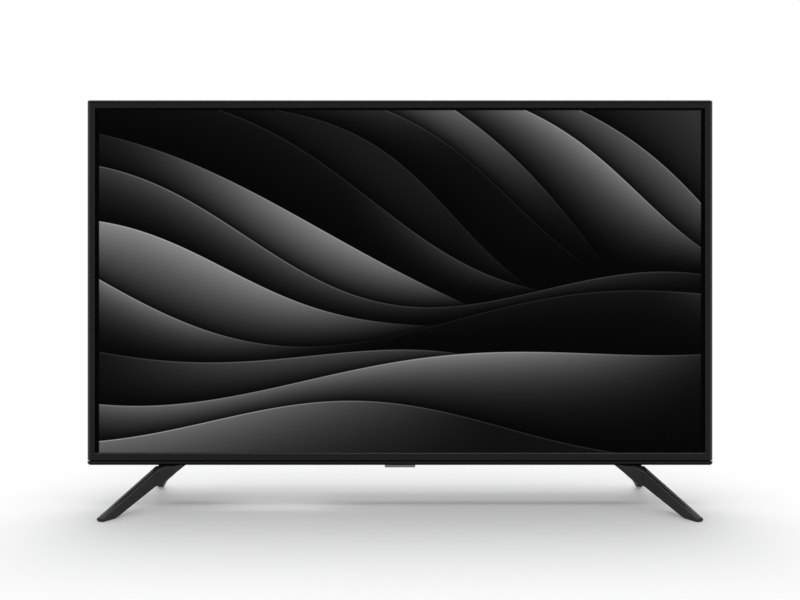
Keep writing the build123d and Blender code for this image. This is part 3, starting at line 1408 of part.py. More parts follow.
with BuildPart() as leg_left:
    with BuildSketch(at_height(FOOT_PAD_T)) as leg_sole:
        with BuildLine():
            leg_plan()
        make_face()
        fillet(leg_sole.vertices().sort_by_distance(inner_knee)[0], radius=KNEE_R)
    extrude(amount=BOTTOM - FOOT_PAD_T)
    with BuildSketch(at_x(-PAD_X + RUN_OUT)) as side_view:
        with BuildLine():
            Polyline(
                (-HALF_STAND, FOOT_PAD_T),
                (-HALF_STAND, FOOT_PAD_T + TIP_H),
                (PAD_FRONT, BOTTOM),
                (PAD_BACK, BOTTOM),
                (HALF_STAND, FOOT_PAD_T + TIP_H),
                (HALF_STAND, FOOT_PAD_T),
                (HALF_STAND - REAR_FOOT_RUN, FOOT_PAD_T),
                (ARCH_BACK, ARCH_Z),
                (ARCH_FRONT, ARCH_Z),
                (-HALF_STAND + FOOT_RUN, FOOT_PAD_T),
                close=True,
            )
        make_face()
        arch_tops = side_view.vertices().group_by(Axis.Y)[-2]
        fillet(arch_tops, radius=ARCH_R)
    extrude(amount=-(LEG_TIP_X - PAD_X + 2 * RUN_OUT), mode=Mode.INTERSECT)
    with BuildSketch(at_depth(-HALF_STAND)):
        with BuildLine():
            Polyline(
                (-PAD_X, BOTTOM),
                (-WEB_KNEE_X, WEB_KNEE_Z),
                (-WEB_FOOT_X, ARCH_Z),
                (-WEB_FOOT_X, 0),
                (-LEG_TIP_X - RUN_OUT, 0),
                (-LEG_TIP_X - RUN_OUT, BOTTOM),
                close=True,
            )
        make_face()
    extrude(amount=-2 * STAND_DEPTH, mode=Mode.INTERSECT)
    # The front of the pad falls away outwards in a curve, under the body
    with BuildSketch(Plane.XZ.offset(-(PAD_FRONT - RUN_OUT))):
        with BuildLine():
            fall = [(-PAD_X - out, BOTTOM - down) for out, down in SHOULDER_FALL]
            Spline(fall)
            Polyline(
                fall[-1],
                (fall[-1][0], BOTTOM + RUN_OUT),
                (fall[0][0], BOTTOM + RUN_OUT),
                fall[0],
            )
        make_face()
    extrude(amount=-(SHOULDER_DEPTH + RUN_OUT), mode=Mode.SUBTRACT)
    # The two long upper edges of the front blade are rounded
    fillet(leg_left.edges().filter_by(GeomType.LINE).sort_by(SortBy.LENGTH)[-2:], radius=LEG_EDGE)
    with BuildSketch(at_height(BOTTOM)):
        span(-TONGUE_LEFT, -TONGUE_RIGHT, TONGUE_FRONT, TONGUE_BACK)
    extrude(amount=TONGUE_H)
    for y in LEG_SCREW_YS:
        with BuildSketch(at_height(0)):
            with Locations((-LEG_SCREW_X, y)):
                Circle(LEG_HEAD_R + LEG_HEAD_PLAY)
        extrude(amount=BOTTOM - LEG_SEAT, mode=Mode.SUBTRACT)
        with BuildSketch(at_height(0)):
            with Locations((-LEG_SCREW_X, y)):
                Circle(LEG_SCREW_R + CLEARANCE)
        extrude(amount=BOTTOM + RUN_OUT, mode=Mode.SUBTRACT)
leg_left.part.label = "leg_left"
export_step(leg_left.part, "parts/leg_left.step")

with BuildPart() as leg_right:
    mirror(leg_left.part, about=Plane.YZ)
leg_right.part.label = "leg_right"
export_step(leg_right.part, "parts/leg_right.step")

# Rubber pads under the four foot ends
with BuildPart() as foot_pads:
    with BuildSketch(at_height(0)) as pad_plan:
        with BuildLine():
            leg_plan()
        make_face()
        offset(amount=-FOOT_PAD_IN)
        span(
            -LEG_TIP_X,
            -PAD_X + RUN_OUT,
            -HALF_STAND + FOOT_RUN - FOOT_PAD_IN,
            HALF_STAND - REAR_FOOT_RUN + FOOT_PAD_IN,
            mode=Mode.SUBTRACT,
        )
    extrude(amount=FOOT_PAD_T)
    mirror(about=Plane.YZ)
foot_pads.part.label = "foot_pads"
export_step(foot_pads.part, "parts/foot_pads.step")

with BuildPart() as leg_screws:
    for side in (-1, 1):
        for y in LEG_SCREW_YS:
            with BuildSketch(at_height(BOTTOM - LEG_SEAT)):
                with Locations((side * LEG_SCREW_X, y)):
                    Circle(LEG_HEAD_R)
            extrude(amount=-LEG_HEAD_H)
            with BuildSketch(at_height(BOTTOM - LEG_SEAT)):
                with Locations((side * LEG_SCREW_X, y)):
                    Circle(LEG_SCREW_R)
            extrude(amount=LEG_SCREW_LENGTH)
leg_screws.part.label = "leg_screws"
export_step(leg_screws.part, "parts/leg_screws.step")

# Rear cover
VENT_W = 3.0
VENT_H = 26.0
VENT_PITCH = 9.0
VENT_NEAR = 131.5  # middle of the innermost slot
VENT_END = 51.5  # from the outermost one to the edge of the back
VENTS = round((BULGE_BACK_HALF - VENT_END - VENT_NEAR) / VENT_PITCH) + 1
VENT_X = VENT_NEAR + (VENTS - 1) * VENT_PITCH / 2
VENT_DROP = 28.0
GRILLE_W = 2.0
GRILLE_L = 20.0
GRILLE_PITCH = 4.5
GRILLES = 5
INTAKE_X = 55.0
INTAKE_AT = 62.0
INTAKE_W = 2.4
INTAKE_L = 14.0
INTAKE_PITCH = 6.0
INTAKES = 7
MOUNT_GROOVE_HALF = 64.0
MOUNT_GROOVE_W = 1.4
MOUNT_GROOVE_T = 0.7
MOUNT_GROOVE_CORNER = 8.0
PORT_PLAY = 0.4
DEEP_BOSS_R = 5.4
SHALLOW_BOSS_R = 4.5
BOSS_GAP = 0.3
HEAD_SEAT = 2.0
MIN_CORNER = 0.5


def cover_form(wall):
    """The cover's outer form, or its hollow when a wall thickness is given."""
    start = BEZEL_DEPTH - RUN_OUT if wall else BEZEL_DEPTH
    half = HALF_W - COVER_INSET - wall
    head = TOP - COVER_INSET - wall
    foot = BOTTOM + wall
    base_x = BULGE_BASE_HALF - wall
    base_head = BOTTOM + BULGE_BASE_HEIGHT - wall
    back_x = BULGE_BACK_HALF - wall
    back_head = BOTTOM + BULGE_BACK_HEIGHT - wall
    with BuildPart() as form:
        with BuildSketch(at_depth(start)):
            rounded_span(-half, half, foot, head, max(COVER_CORNER - wall, MIN_CORNER))
        extrude(amount=-(RIM_END - start - wall / 2))
        with BuildSketch(at_depth(RIM_END - wall / 2)):
            span(-half, half, foot, head)
        with BuildSketch(at_depth(PLATEAU_DEPTH - wall)):
            span(-PLATEAU_HALF + wall, PLATEAU_HALF - wall, foot, PLATEAU_HEAD - wall)
        loft(ruled=True)
        with BuildSketch(at_depth(PLATEAU_DEPTH - 2 * COVER_WALL)):
            rounded_span(-base_x, base_x, foot, base_head, BULGE_BASE_CORNER - wall)
        with BuildSketch(at_depth(BODY_DEPTH - wall)):
            rounded_span(-back_x, back_x, foot, back_head, BULGE_BACK_CORNER - wall)
        loft(ruled=True)
        for x0, x1, z0, z1 in (SIDE_BAY, POWER_BAY, FOOT_BAY):
            with BuildSketch(at_depth(PLATEAU_DEPTH - wall)):
                span(x0 - wall, x1 + wall, z0 - wall, z1 + wall)
            extrude(amount=-BODY_DEPTH, mode=Mode.SUBTRACT)
    return form.part


outer_form = cover_form(0)
hollow = cover_form(COVER_WALL)

with BuildPart() as rear_cover:
    add(outer_form)
    add(hollow, mode=Mode.SUBTRACT)
    # A lip on three sides that reaches into the frame
    with BuildSketch(at_depth(BEZEL_DEPTH - LIP_REACH)):
        span(
            -INNER_HALF + CLEARANCE,
            INNER_HALF - CLEARANCE,
            PANEL_FOOT,
            INNER_TOP - CLEARANCE,
        )
        span(
            -INNER_HALF + CLEARANCE + LIP_T,
            INNER_HALF - CLEARANCE - LIP_T,
            PANEL_FOOT,
            INNER_TOP - CLEARANCE - LIP_T,
            mode=Mode.SUBTRACT,
        )
    extrude(amount=-(LIP_REACH + COVER_WALL))
    # Bosses for the screws, standing off the inside
    with BuildSketch(at_depth(PLATE_BACK + BOSS_GAP)):
        with Locations(SHALLOW_SCREWS):
            Circle(SHALLOW_BOSS_R)
    extrude(amount=-(PLATEAU_DEPTH - COVER_WALL / 2 - PLATE_BACK - BOSS_GAP))
    with BuildSketch(at_depth(PLATE_BACK + BOSS_GAP)):
        with Locations(DEEP_SCREWS):
            Circle(DEEP_BOSS_R)
    extrude(amount=-(BODY_DEPTH - COVER_WALL / 2 - PLATE_BACK - BOSS_GAP))
    # Screw holes, with a seat for each head
    with BuildSketch(at_depth(PLATE_BACK - RUN_OUT)):
        with Locations(SHALLOW_SCREWS + DEEP_SCREWS):
            Circle(SCREW_R + CLEARANCE)
    extrude(amount=-BODY_DEPTH, mode=Mode.SUBTRACT)
    with BuildSketch(at_depth(PLATEAU_DEPTH - HEAD_SEAT)):
        with Locations(SHALLOW_SCREWS + DEEP_SCREWS):
            Circle(SCREW_HEAD_R + CLEARANCE)
    extrude(amount=-BODY_DEPTH, mode=Mode.SUBTRACT)
    # Holes for the wall mount pillars
    with BuildSketch(at_depth(PLATEAU_DEPTH)):
        with Locations((0, BOTTOM + MOUNT_RISE)):
            with GridLocations(MOUNT_SPACING, MOUNT_SPACING, 2, 2):
                Circle(PILLAR_R + CLEARANCE)
    extrude(amount=-BODY_DEPTH, mode=Mode.SUBTRACT)
    # Vents in the back and slots under the speakers
    with BuildSketch(at_depth(PLATEAU_DEPTH)):
        for side in (-1, 1):
            with Locations((side * VENT_X, BOTTOM + BULGE_BACK_HEIGHT - VENT_DROP)):
                with GridLocations(VENT_PITCH, VENT_H, VENTS, 1):
                    Rectangle(VENT_W, VENT_H)
    extrude(amount=-BODY_DEPTH, mode=Mode.SUBTRACT)
    with BuildSketch(at_height(BOTTOM - RUN_OUT)):
        for side in (-1, 1):
            with Locations((side * SPEAKER_X, FRONT_Y + SPEAKER_AT)):
                with GridLocations(GRILLE_PITCH, GRILLE_L, GRILLES, 1):
                    Rectangle(GRILLE_W, GRILLE_L)
    extrude(amount=COVER_WALL + 2 * RUN_OUT, mode=Mode.SUBTRACT)
    # Intake slots under the boards
    with BuildSketch(at_height(BOTTOM - RUN_OUT)):
        for side in (-1, 1):
            with Locations((side * INTAKE_X, FRONT_Y + INTAKE_AT)):
                with GridLocations(INTAKE_PITCH, INTAKE_L, INTAKES, 1):
                    Rectangle(INTAKE_W, INTAKE_L)
    extrude(amount=COVER_WALL + 2 * RUN_OUT, mode=Mode.SUBTRACT)
    # A shallow moulded groove that frames the wall mount
    with BuildSketch(at_depth(BODY_DEPTH - MOUNT_GROOVE_T)):
        with Locations((0, BOTTOM + MOUNT_RISE)):
            groove_side = 2 * MOUNT_GROOVE_HALF
            inner_side = groove_side - 2 * MOUNT_GROOVE_W
            RectangleRounded(groove_side, groove_side, MOUNT_GROOVE_CORNER)
            RectangleRounded(
                inner_side, inner_side, MOUNT_GROOVE_CORNER - MOUNT_GROOVE_W, mode=Mode.SUBTRACT
            )
    extrude(amount=-(MOUNT_GROOVE_T + RUN_OUT), mode=Mode.SUBTRACT)
    # Openings in the bays' walls, one round each socket
    for share in SIDE_VIDEO_SHARES:
        z = side_z(share)
        block(
            -BAY_IN - RUN_OUT,
            -BAY_IN + COVER_WALL,
            BOARD_FRONT - RUN_OUT,
            BOARD_BACK + VIDEO_H + PORT_PLAY,
            z - VIDEO_W / 2 - PORT_PLAY,
            z + VIDEO_W / 2 + PORT_PLAY,
            mode=Mode.SUBTRACT,
        )
    for share in SIDE_USB_SHARES:
        z = side_z(share)
        block(
            -BAY_IN - RUN_OUT,
            -BAY_IN + COVER_WALL,
            BOARD_FRONT - RUN_OUT,
            BOARD_BACK + USB_H + PORT_PLAY,
            z - USB_W / 2 - PORT_PLAY,
            z + USB_W / 2 + PORT_PLAY,
            mode=Mode.SUBTRACT,
        )
    block(
        -BAY_IN - RUN_OUT,
        -BAY_IN + COVER_WALL,
        BOARD_FRONT - RUN_OUT,
        BOARD_BACK + JACK_H + PORT_PLAY,
        side_z(SIDE_JACK_SHARE) - JACK_W / 2 - PORT_PLAY,
        side_z(SIDE_JACK_SHARE) + JACK_W / 2 + PORT_PLAY,
        mode=Mode.SUBTRACT,
    )
    for share, width, height in (
        (FOOT_VIDEO_SHARE, VIDEO_W, VIDEO_H),
        (FOOT_LAN_SHARE, LAN_W, LAN_H),
        (FOOT_OPTICAL_SHARE, OPTICAL_W, OPTICAL_H),
        (FOOT_AERIAL_SHARE, 2 * AERIAL_R, AERIAL_BOX_H),
    ):
        x = foot_x(share)
        block(
            x - width / 2 - PORT_PLAY,
            x + width / 2 + PORT_PLAY,
            BOARD_FRONT - RUN_OUT,
            BOARD_BACK + height + PORT_PLAY,
            BOTTOM + FOOT_BAY_H - RUN_OUT,
            BOTTOM + FOOT_BAY_H + COVER_WALL,
            mode=Mode.SUBTRACT,
        )
    block(
        BAY_IN - COVER_WALL,
        BAY_IN + RUN_OUT,
        BOARD_FRONT - RUN_OUT,
        BOARD_BACK + INLET_H + PORT_PLAY,
        INLET_Z - INLET_W / 2 - PORT_PLAY,
        INLET_Z + INLET_W / 2 + PORT_PLAY,
        mode=Mode.SUBTRACT,
    )
    # Light guide and power key holes in the underside
    block(
        -GUIDE_W / 2 - CLEARANCE,
        GUIDE_W / 2 + CLEARANCE,
        GUIDE_AT - GUIDE_DEPTH / 2 - CLEARANCE,
        GUIDE_AT + GUIDE_DEPTH / 2 + CLEARANCE,
        BOTTOM - RUN_OUT,
        BOTTOM + COVER_WALL + RUN_OUT,
        mode=Mode.SUBTRACT,
    )
    block(
        -KEY_W / 2 - CLEARANCE,
        KEY_W / 2 + CLEARANCE,
        KEY_AT - KEY_DEPTH / 2 - CLEARANCE,
        KEY_AT + KEY_DEPTH / 2 + CLEARANCE,
        BOTTOM - RUN_OUT,
        BOTTOM + COVER_WALL + RUN_OUT,
        mode=Mode.SUBTRACT,
    )
    # Posts that carry the sensor board
    for side in (-1, 1):
        block(
            side * (SENSOR_HALF - SENSOR_POST_W),
            side * SENSOR_HALF,
            SENSOR_FRONT + CLEARANCE,
            SENSOR_BACK - CLEARANCE,
            BOTTOM + COVER_WALL / 2,
            SENSOR_Z,
        )
    # Sockets and screw bosses for the feet
    for side in (-1, 1):
        with BuildSketch(at_height(BOTTOM + COVER_WALL / 2)):
            near = side * (TONGUE_RIGHT - TONGUE_PLAY - SOCKET_WALL)
            far = side * (TONGUE_LEFT + TONGUE_PLAY + SOCKET_WALL)
            span(
                min(near, far),
                max(near, far),
                TONGUE_FRONT - TONGUE_PLAY - SOCKET_WALL,
                TONGUE_BACK + TONGUE_PLAY + SOCKET_WALL,
            )
        extrude(amount=TONGUE_H + SOCKET_WALL)
        with BuildSketch(at_height(BOTTOM + COVER_WALL / 2)):
            for y in LEG_SCREW_YS:
                with Locations((side * LEG_SCREW_X, y)):
                    Circle(LEG_BOSS_R)
        extrude(amount=LEG_BOSS_H)
        with BuildSketch(at_height(BOTTOM - RUN_OUT)):
            near = side * (TONGUE_RIGHT - TONGUE_PLAY)
            far = side * (TONGUE_LEFT + TONGUE_PLAY)
            span(min(near, far), max(near, far), TONGUE_FRONT - TONGUE_PLAY, TONGUE_BACK + TONGUE_PLAY)
        extrude(amount=TONGUE_H + RUN_OUT + TONGUE_PLAY, mode=Mode.SUBTRACT)
        with BuildSketch(at_height(BOTTOM - RUN_OUT)):
            for y in LEG_SCREW_YS:
                with Locations((side * LEG_SCREW_X, y)):
                    Circle(LEG_SCREW_R + SCREW_FIT)
        extrude(amount=LEG_BOSS_H + COVER_WALL + 2 * RUN_OUT, mode=Mode.SUBTRACT)
rear_cover.part.label = "rear_cover"
export_step(rear_cover.part, "parts/rear_cover.step")

with BuildPart() as cover_screws:
    with BuildSketch(at_depth(PLATEAU_DEPTH - HEAD_SEAT)):
        with Locations(SHALLOW_SCREWS + DEEP_SCREWS):
            Circle(SCREW_HEAD_R)
    extrude(amount=-SCREW_HEAD_H)
    with BuildSketch(at_depth(PLATEAU_DEPTH - HEAD_SEAT)):
        with Locations(SHALLOW_SCREWS + DEEP_SCREWS):
            Circle(SCREW_R)
    extrude(amount=PLATEAU_DEPTH - HEAD_SEAT - PLATE_FRONT + SCREW_REACH)
cover_screws.part.label = "cover_screws"
export_step(cover_screws.part, "parts/cover_screws.step")
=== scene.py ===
# %% [markdown]
# # A flat screen television, dressed in Blender
#
# The solid model of the set comes from CAD and is already the right size. This script gives it
# its finishes, adds the small parts that are too fine for the solids, and lights it. The
# origin is on the floor midway between the feet, +X is the viewer's right, +Y runs to the
# back, +Z is up, and every length here is in metres.

# %% Load the solid model
import json
import math

import bmesh
import bpy
from mathutils import Euler, Matrix, Vector


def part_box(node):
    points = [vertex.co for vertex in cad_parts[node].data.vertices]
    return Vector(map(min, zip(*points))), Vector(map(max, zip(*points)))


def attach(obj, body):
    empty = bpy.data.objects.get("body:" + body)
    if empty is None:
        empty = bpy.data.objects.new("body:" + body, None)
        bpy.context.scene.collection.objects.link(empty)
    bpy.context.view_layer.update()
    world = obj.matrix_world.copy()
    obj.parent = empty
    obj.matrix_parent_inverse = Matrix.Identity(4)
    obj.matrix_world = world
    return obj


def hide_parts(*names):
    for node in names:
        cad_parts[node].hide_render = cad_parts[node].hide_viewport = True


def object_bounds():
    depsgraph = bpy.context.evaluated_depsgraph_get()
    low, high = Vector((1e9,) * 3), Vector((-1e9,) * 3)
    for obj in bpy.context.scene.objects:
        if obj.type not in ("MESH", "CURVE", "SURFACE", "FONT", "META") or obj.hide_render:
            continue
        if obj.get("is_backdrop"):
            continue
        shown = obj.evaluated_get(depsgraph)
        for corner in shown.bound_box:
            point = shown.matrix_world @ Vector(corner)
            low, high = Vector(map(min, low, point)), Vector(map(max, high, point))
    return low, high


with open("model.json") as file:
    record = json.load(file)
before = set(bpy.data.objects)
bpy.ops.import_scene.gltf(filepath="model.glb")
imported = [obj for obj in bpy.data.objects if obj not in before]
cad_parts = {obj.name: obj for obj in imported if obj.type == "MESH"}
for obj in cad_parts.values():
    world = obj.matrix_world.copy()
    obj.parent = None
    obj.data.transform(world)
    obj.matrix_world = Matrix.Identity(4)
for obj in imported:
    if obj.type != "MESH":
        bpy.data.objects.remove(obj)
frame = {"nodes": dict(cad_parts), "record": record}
nodes = frame["nodes"]
cad_low, cad_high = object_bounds()
print("nodes", len(nodes), "box", [round(v, 4) for v in (*cad_low, *cad_high)])

# %% [markdown]
# ## The camera
#
# A photographer would stand just over a metre in front of the set, with the lens a little
# above the middle of the screen and held level, so that upright edges stay upright. Level
# means no tilt at all: the frame is moved down by a small shift instead, as with a view camera.

# %% Camera
scene = bpy.context.scene
CAMERA_AT = (0.0, -1.107, 0.257)
CAMERA_LENS = 42.54
CAMERA_SENSOR = 36.0
CAMERA_SHIFT = -0.02125
camera_data = bpy.data.cameras.new("camera")
camera_data.sensor_width = CAMERA_SENSOR
camera_data.lens = CAMERA_LENS
camera_data.shift_y = CAMERA_SHIFT
camera = bpy.data.objects.new("camera", camera_data)
camera.location = CAMERA_AT
camera.rotation_euler = (math.pi / 2, 0, 0)
scene.collection.objects.link(camera)
scene.camera = camera
print("camera lens", CAMERA_LENS, "mm at", CAMERA_AT)

# %% [markdown]
# ## A small language for materials
#
# A Blender material is a graph of nodes. Drawing such a graph by hand in code is long, so a
# thin wrapper round a socket lets it be written as a sum: `mask * 0.3 + 0.1` adds two Math
# nodes. The reflected forms are there as well, so that `1 - mask` works. Every other kind
# of node comes from one method that takes its type, its settings and what goes in.

# %% The socket wrapper
class Value:
    """One output socket. Arithmetic on it adds Math nodes to its tree."""

    def __init__(self, net, socket):
        self.net = net
        self.socket = socket

    def math(self, operation, *others):
        numbers = dict(enumerate((self, *others)))
        return self.net.add("ShaderNodeMath", {"operation": operation}, numbers)

    def __add__(self, other):
        return self.math("ADD", other)

    def __radd__(self, other):
        return self.math("ADD", other)

    def __mul__(self, other):
        return self.math("MULTIPLY", other)

    def __rmul__(self, other):
        return self.math("MULTIPLY", other)

    def __sub__(self, other):
        return self.math("SUBTRACT", other)

    def __rsub__(self, other):
        return self.net.add("ShaderNodeMath", {"operation": "SUBTRACT"}, {0: other, 1: self})

    def __truediv__(self, other):
        return self.math("DIVIDE", other)

    def __rtruediv__(self, other):
        return self.net.add("ShaderNodeMath", {"operation": "DIVIDE"}, {0: other, 1: self})

    def __pow__(self, other):
        return self.math("POWER", other)

    def __neg__(self):
        return self.math("MULTIPLY", -1.0)

    def step(self, low, high):
        """0 below low and 1 above high, with a smooth change between them."""
        settings = {"interpolation_type": "SMOOTHSTEP"}
        return self.net.add("ShaderNodeMapRange", settings, {0: self, 1: low, 2: high})


class Net:
    """The node tree of a material or a world, with one method that adds any node."""

    def __init__(self, tree):
        self.tree = tree
        tree.nodes.clear()

    def add(self, kind, settings=None, inputs=None, out=0):
        node = self.tree.nodes.new(kind)
        for name, setting in (settings or {}).items():
            setattr(node, name, setting)
        for key, given in (inputs or {}).items():
            if isinstance(given, Value):
                self.tree.links.new(given.socket, node.inputs[key])
            elif isinstance(given, list):
                for one in given:
                    self.tree.links.new(one.socket, node.inputs[key])
            else:
                node.inputs[key].default_value = given
        return Value(self, node.outputs[out])

    def place(self):
        """Object coordinates, whole and as three values."""
        whole = self.add("ShaderNodeTexCoord", out="Object")
        parts = [self.add("ShaderNodeSeparateXYZ", None, {0: whole}, out) for out in range(3)]
        return whole, parts

    def noise(self, where, scale, detail=2.0, roughness=0.5):
        inputs = {"Vector": where, "Scale": scale, "Detail": detail, "Roughness": roughness}
        return self.add("ShaderNodeTexNoise", None, inputs, "Fac")

    def blend(self, factor, first, second):
        """Colour mix of two colours or links."""
        return self.add(
            "ShaderNodeMix",
            {"data_type": "RGBA"},
            {"Factor": factor, 6: first, 7: second},
            2,
        )

    def bump(self, height, distance, strength):
        inputs = {"Strength": strength, "Distance": distance, "Height": height}
        return self.add("ShaderNodeBump", None, inputs, "Normal")

    def surface(self, shader):
        out = self.tree.nodes.new("ShaderNodeOutputMaterial")
        self.tree.links.new(shader.socket, out.inputs["Surface"])


def shade(share, colour, alpha=1.0):
    """A colour made darker or lighter, as four numbers."""
    return (*(min(part * share, 1.0) for part in colour), alpha)


MATERIALS = {}


def new_material(name):
    material = bpy.data.materials.new(name)
    material.use_nodes = True
    MATERIALS[name] = material
    return Net(material.node_tree)


print("wrapper ready")

# %% [markdown]
# ## Moulded plastic
#
# Most of a television is injection moulded plastic, coloured black all the way through. The
# mould is spark eroded or etched, which leaves a fine grain, and the colour shows faint
# clouds. Grain is bump at two scales, and the same noise moves the roughness a little, so a
# highlight breaks up as it runs over the surface.
#
# The frame and the feet have roundings under a millimetre wide. Seen from the front they are
# hairlines, bright where they catch the light and dark where they turn away. That light and
# shade is painted into the colour as a band at its own place for each edge: a painted highlight
# lifts the colour, and painted shade mixes in a darker, matte copy of the plastic. The feet are
# lacquered as well, which is a thin clear coat.

# %% Plastic finishes
CLOUD_SCALE = 18.0
RUB_SCALE = 55.0
COAT_ROUGH = 0.14
# The colour of the painted highlight on the rounded edges
PAINTED_EDGE_HIGHLIGHT = (0.12, 0.12, 0.122, 1)


def plastic(
    name, colour, rough, grain, depth, specular=0.5, cloud=0.12, wear=0.0, coat=0.0, edges=None
):
    """Moulded plastic. Grain is its size in metres, and depth the height of the grain.
    Edges is a function of the place that gives the shares of painted highlight and of
    painted shade."""
    net = new_material(name)
    where, (x, y, z) = net.place()
    fine = net.noise(where, 1 / grain, 3.0, 0.6)
    coarse = net.noise(where, 0.12 / grain, 2.0)
    clouds = net.noise(where, CLOUD_SCALE, 3.0)
    tone = net.blend(clouds, shade(1 - cloud, colour), shade(1 + cloud, colour))
    if wear:
        rubbed = net.noise(where, RUB_SCALE, 4.0, 0.7).step(0.62, 0.8)
        tone = net.blend(rubbed * wear, tone, shade(2.2, colour))
    # Painted highlight: the colour is lifted towards a light grey in the bright edge bands
    if edges:
        bright, dark = edges(x, y, z)
        tone = net.blend(bright, tone, PAINTED_EDGE_HIGHLIGHT)
    inputs = {
        "Base Color": tone,
        "Roughness": rough + (fine - 0.5) * 0.1 + (clouds - 0.5) * 0.08,
        "Normal": net.bump(fine + coarse * 0.5, depth, 0.6),
        "Specular IOR Level": specular,
        "Coat Weight": coat * (0.9 + clouds * 0.2),
        "Coat Roughness": COAT_ROUGH,
    }
    paint = net.add("ShaderNodeBsdfPrincipled", None, inputs)
    # Painted shade: a darker, matte copy of the colour is mixed in where the dark edge bands lie
    if edges:
        painted_shade_copy = net.add("ShaderNodeBsdfDiffuse", None, {"Color": shade(0.3, colour)})
        paint = net.add("ShaderNodeMixShader", None, {0: dark, 1: paint, 2: painted_shade_copy})
    net.surface(paint)


def band(place, low, high, soft=0.0002):
    """1 between two places and 0 outside them."""
    return place.step(low - soft, low + soft) * (1 - place.step(high - soft, high + soft))


# Where the painted highlights and painted shade on the edges lie on the set, in metres: from and
# to
FACE_FADE = (-0.0108, -0.0098)
SIDE_LINE = (0.3593, 0.3612)
LIP_LINE = (0.0590, 0.0604)
LIP_ENDS = (0.3535, 0.3545)
TOP_ROUNDING = (0.4658, 0.4672)
GROOVE = (0.0516, 0.052)
TRIM_FLAT = (0.0475, 0.0506)
TRIM_LINE = (0.0483, 0.0503)
BLADE_TURN = (0.877, 0.48)  # cosine and sine of the front blade's turn in plan
BLADE_LINE = (0.2396, 0.2426)
BLADE_FADE = (-0.022, -0.016)
BLADE_SLOPE = 0.5133
BLADE_TOP = 0.05047


def on_face(y):
    """1 on the front face of the frame and 0 behind it."""
    return 1 - y.step(*FACE_FADE)


def frame_painted_edge_light(x, y, z):
    """Painted highlights on the rounded outer edges and the lower lip; painted shade on
    the top rounding and on the face from the groove down.
    """
    sides = band(x.math("ABSOLUTE"), *SIDE_LINE)
    lip = band(z, *LIP_LINE) * (1 - x.math("ABSOLUTE").step(*LIP_ENDS))
    dark = band(z, *TOP_ROUNDING) * 0.7 + (1 - z.step(*GROOVE)) * 0.8
    return (sides * 0.24 + lip * 0.26) * on_face(y), dark * on_face(y)


def trim_painted_edge_light(x, y, z):
    """Painted shade on the trim in the groove above its flat and where it rounds off below,
    and a faint painted highlight along the flat.
    """
    dark = 1 - band(z, *TRIM_FLAT) * 0.9
    return band(z, *TRIM_LINE) * 0.04, dark * on_face(y)


def leg_painted_edge_highlight(x, y, z):
    """A painted highlight along the rounded outer side of the front blade's top, fading out
    towards the body.
    """
    across = x.math("ABSOLUTE") * BLADE_TURN[0] + y * BLADE_TURN[1]
    top = (z - y * BLADE_SLOPE - BLADE_TOP).step(-0.0004, -0.0001)
    front = 1 - y.step(*BLADE_FADE)
    return band(across, *BLADE_LINE, 0.0005) * top * front * 0.8, 0.0


FRAME = ((0.0045, 0.0045, 0.0048), 0.36, 0.0006, 0.000007, 0.17)
plastic("frame_black", *FRAME, edges=frame_painted_edge_light)
TRIM = ((0.0055, 0.0055, 0.0057), 0.42, 0.0006, 0.000007, 0.16)
plastic("trim_black", *TRIM, edges=trim_painted_edge_light)
plastic("cover_black", (0.012, 0.012, 0.0125), 0.5, 0.0013, 0.00012, 0.42, cloud=0.3)
LEG = ((0.008, 0.008, 0.0085), 0.34, 0.0005, 0.00002, 0.22)
plastic("leg_black", *LEG, wear=0.1, coat=0.3, edges=leg_painted_edge_highlight)
plastic("box_black", (0.012, 0.012, 0.012), 0.5, 0.0008, 0.00004)
plastic("chip_black", (0.014, 0.014, 0.014), 0.55, 0.0003, 0.00002)
plastic("socket_black", (0.012, 0.012, 0.012), 0.4, 0.0004, 0.00002)
plastic("white_plastic", (0.82, 0.82, 0.8), 0.45, 0.0008, 0.00003, cloud=0.03)
plastic("capacitor", (0.02, 0.03, 0.09), 0.3, 0.0006, 0.00002)
plastic("coil_tape", (0.72, 0.52, 0.06), 0.4, 0.0015, 0.00004)
plastic("ribbon", (0.32, 0.13, 0.03), 0.3, 0.002, 0.00002)
plastic("ferrite", (0.03, 0.03, 0.032), 0.6, 0.0005, 0.00003)
plastic("lead_red", (0.42, 0.02, 0.015), 0.45, 0.001, 0.00002)
print("plastics", len(MATERIALS))

# %% [markdown]
# ## Soft and fibrous pieces
#
# Rubber feet, foam strips and the pressed paper of a loudspeaker cone scatter light and
# barely shine. They get a high roughness, little specular light and a deeper, softer bump.

# %% Rubber, foam and paper
plastic("rubber", (0.012, 0.012, 0.012), 0.78, 0.0012, 0.00008, 0.25)
plastic("foam", (0.03, 0.03, 0.03), 0.95, 0.0009, 0.0002, 0.1)
plastic("paper_cone", (0.022, 0.022, 0.021), 0.85, 0.0014, 0.00012, 0.2)
print("with the soft ones", len(MATERIALS))

# %% [markdown]
# ## Metal
#
# Zinc coated sheet shows a spangle of flat crystals, and drawn or brushed metal shows lines
# along one direction. Cells of a Voronoi texture stand for the crystals, and noise that is
# stretched along one axis stands for the lines. Both only move the roughness and the tone.

# %% Metal finishes
LINE_SCALE = 900.0
CRYSTAL_SCALE = 220.0


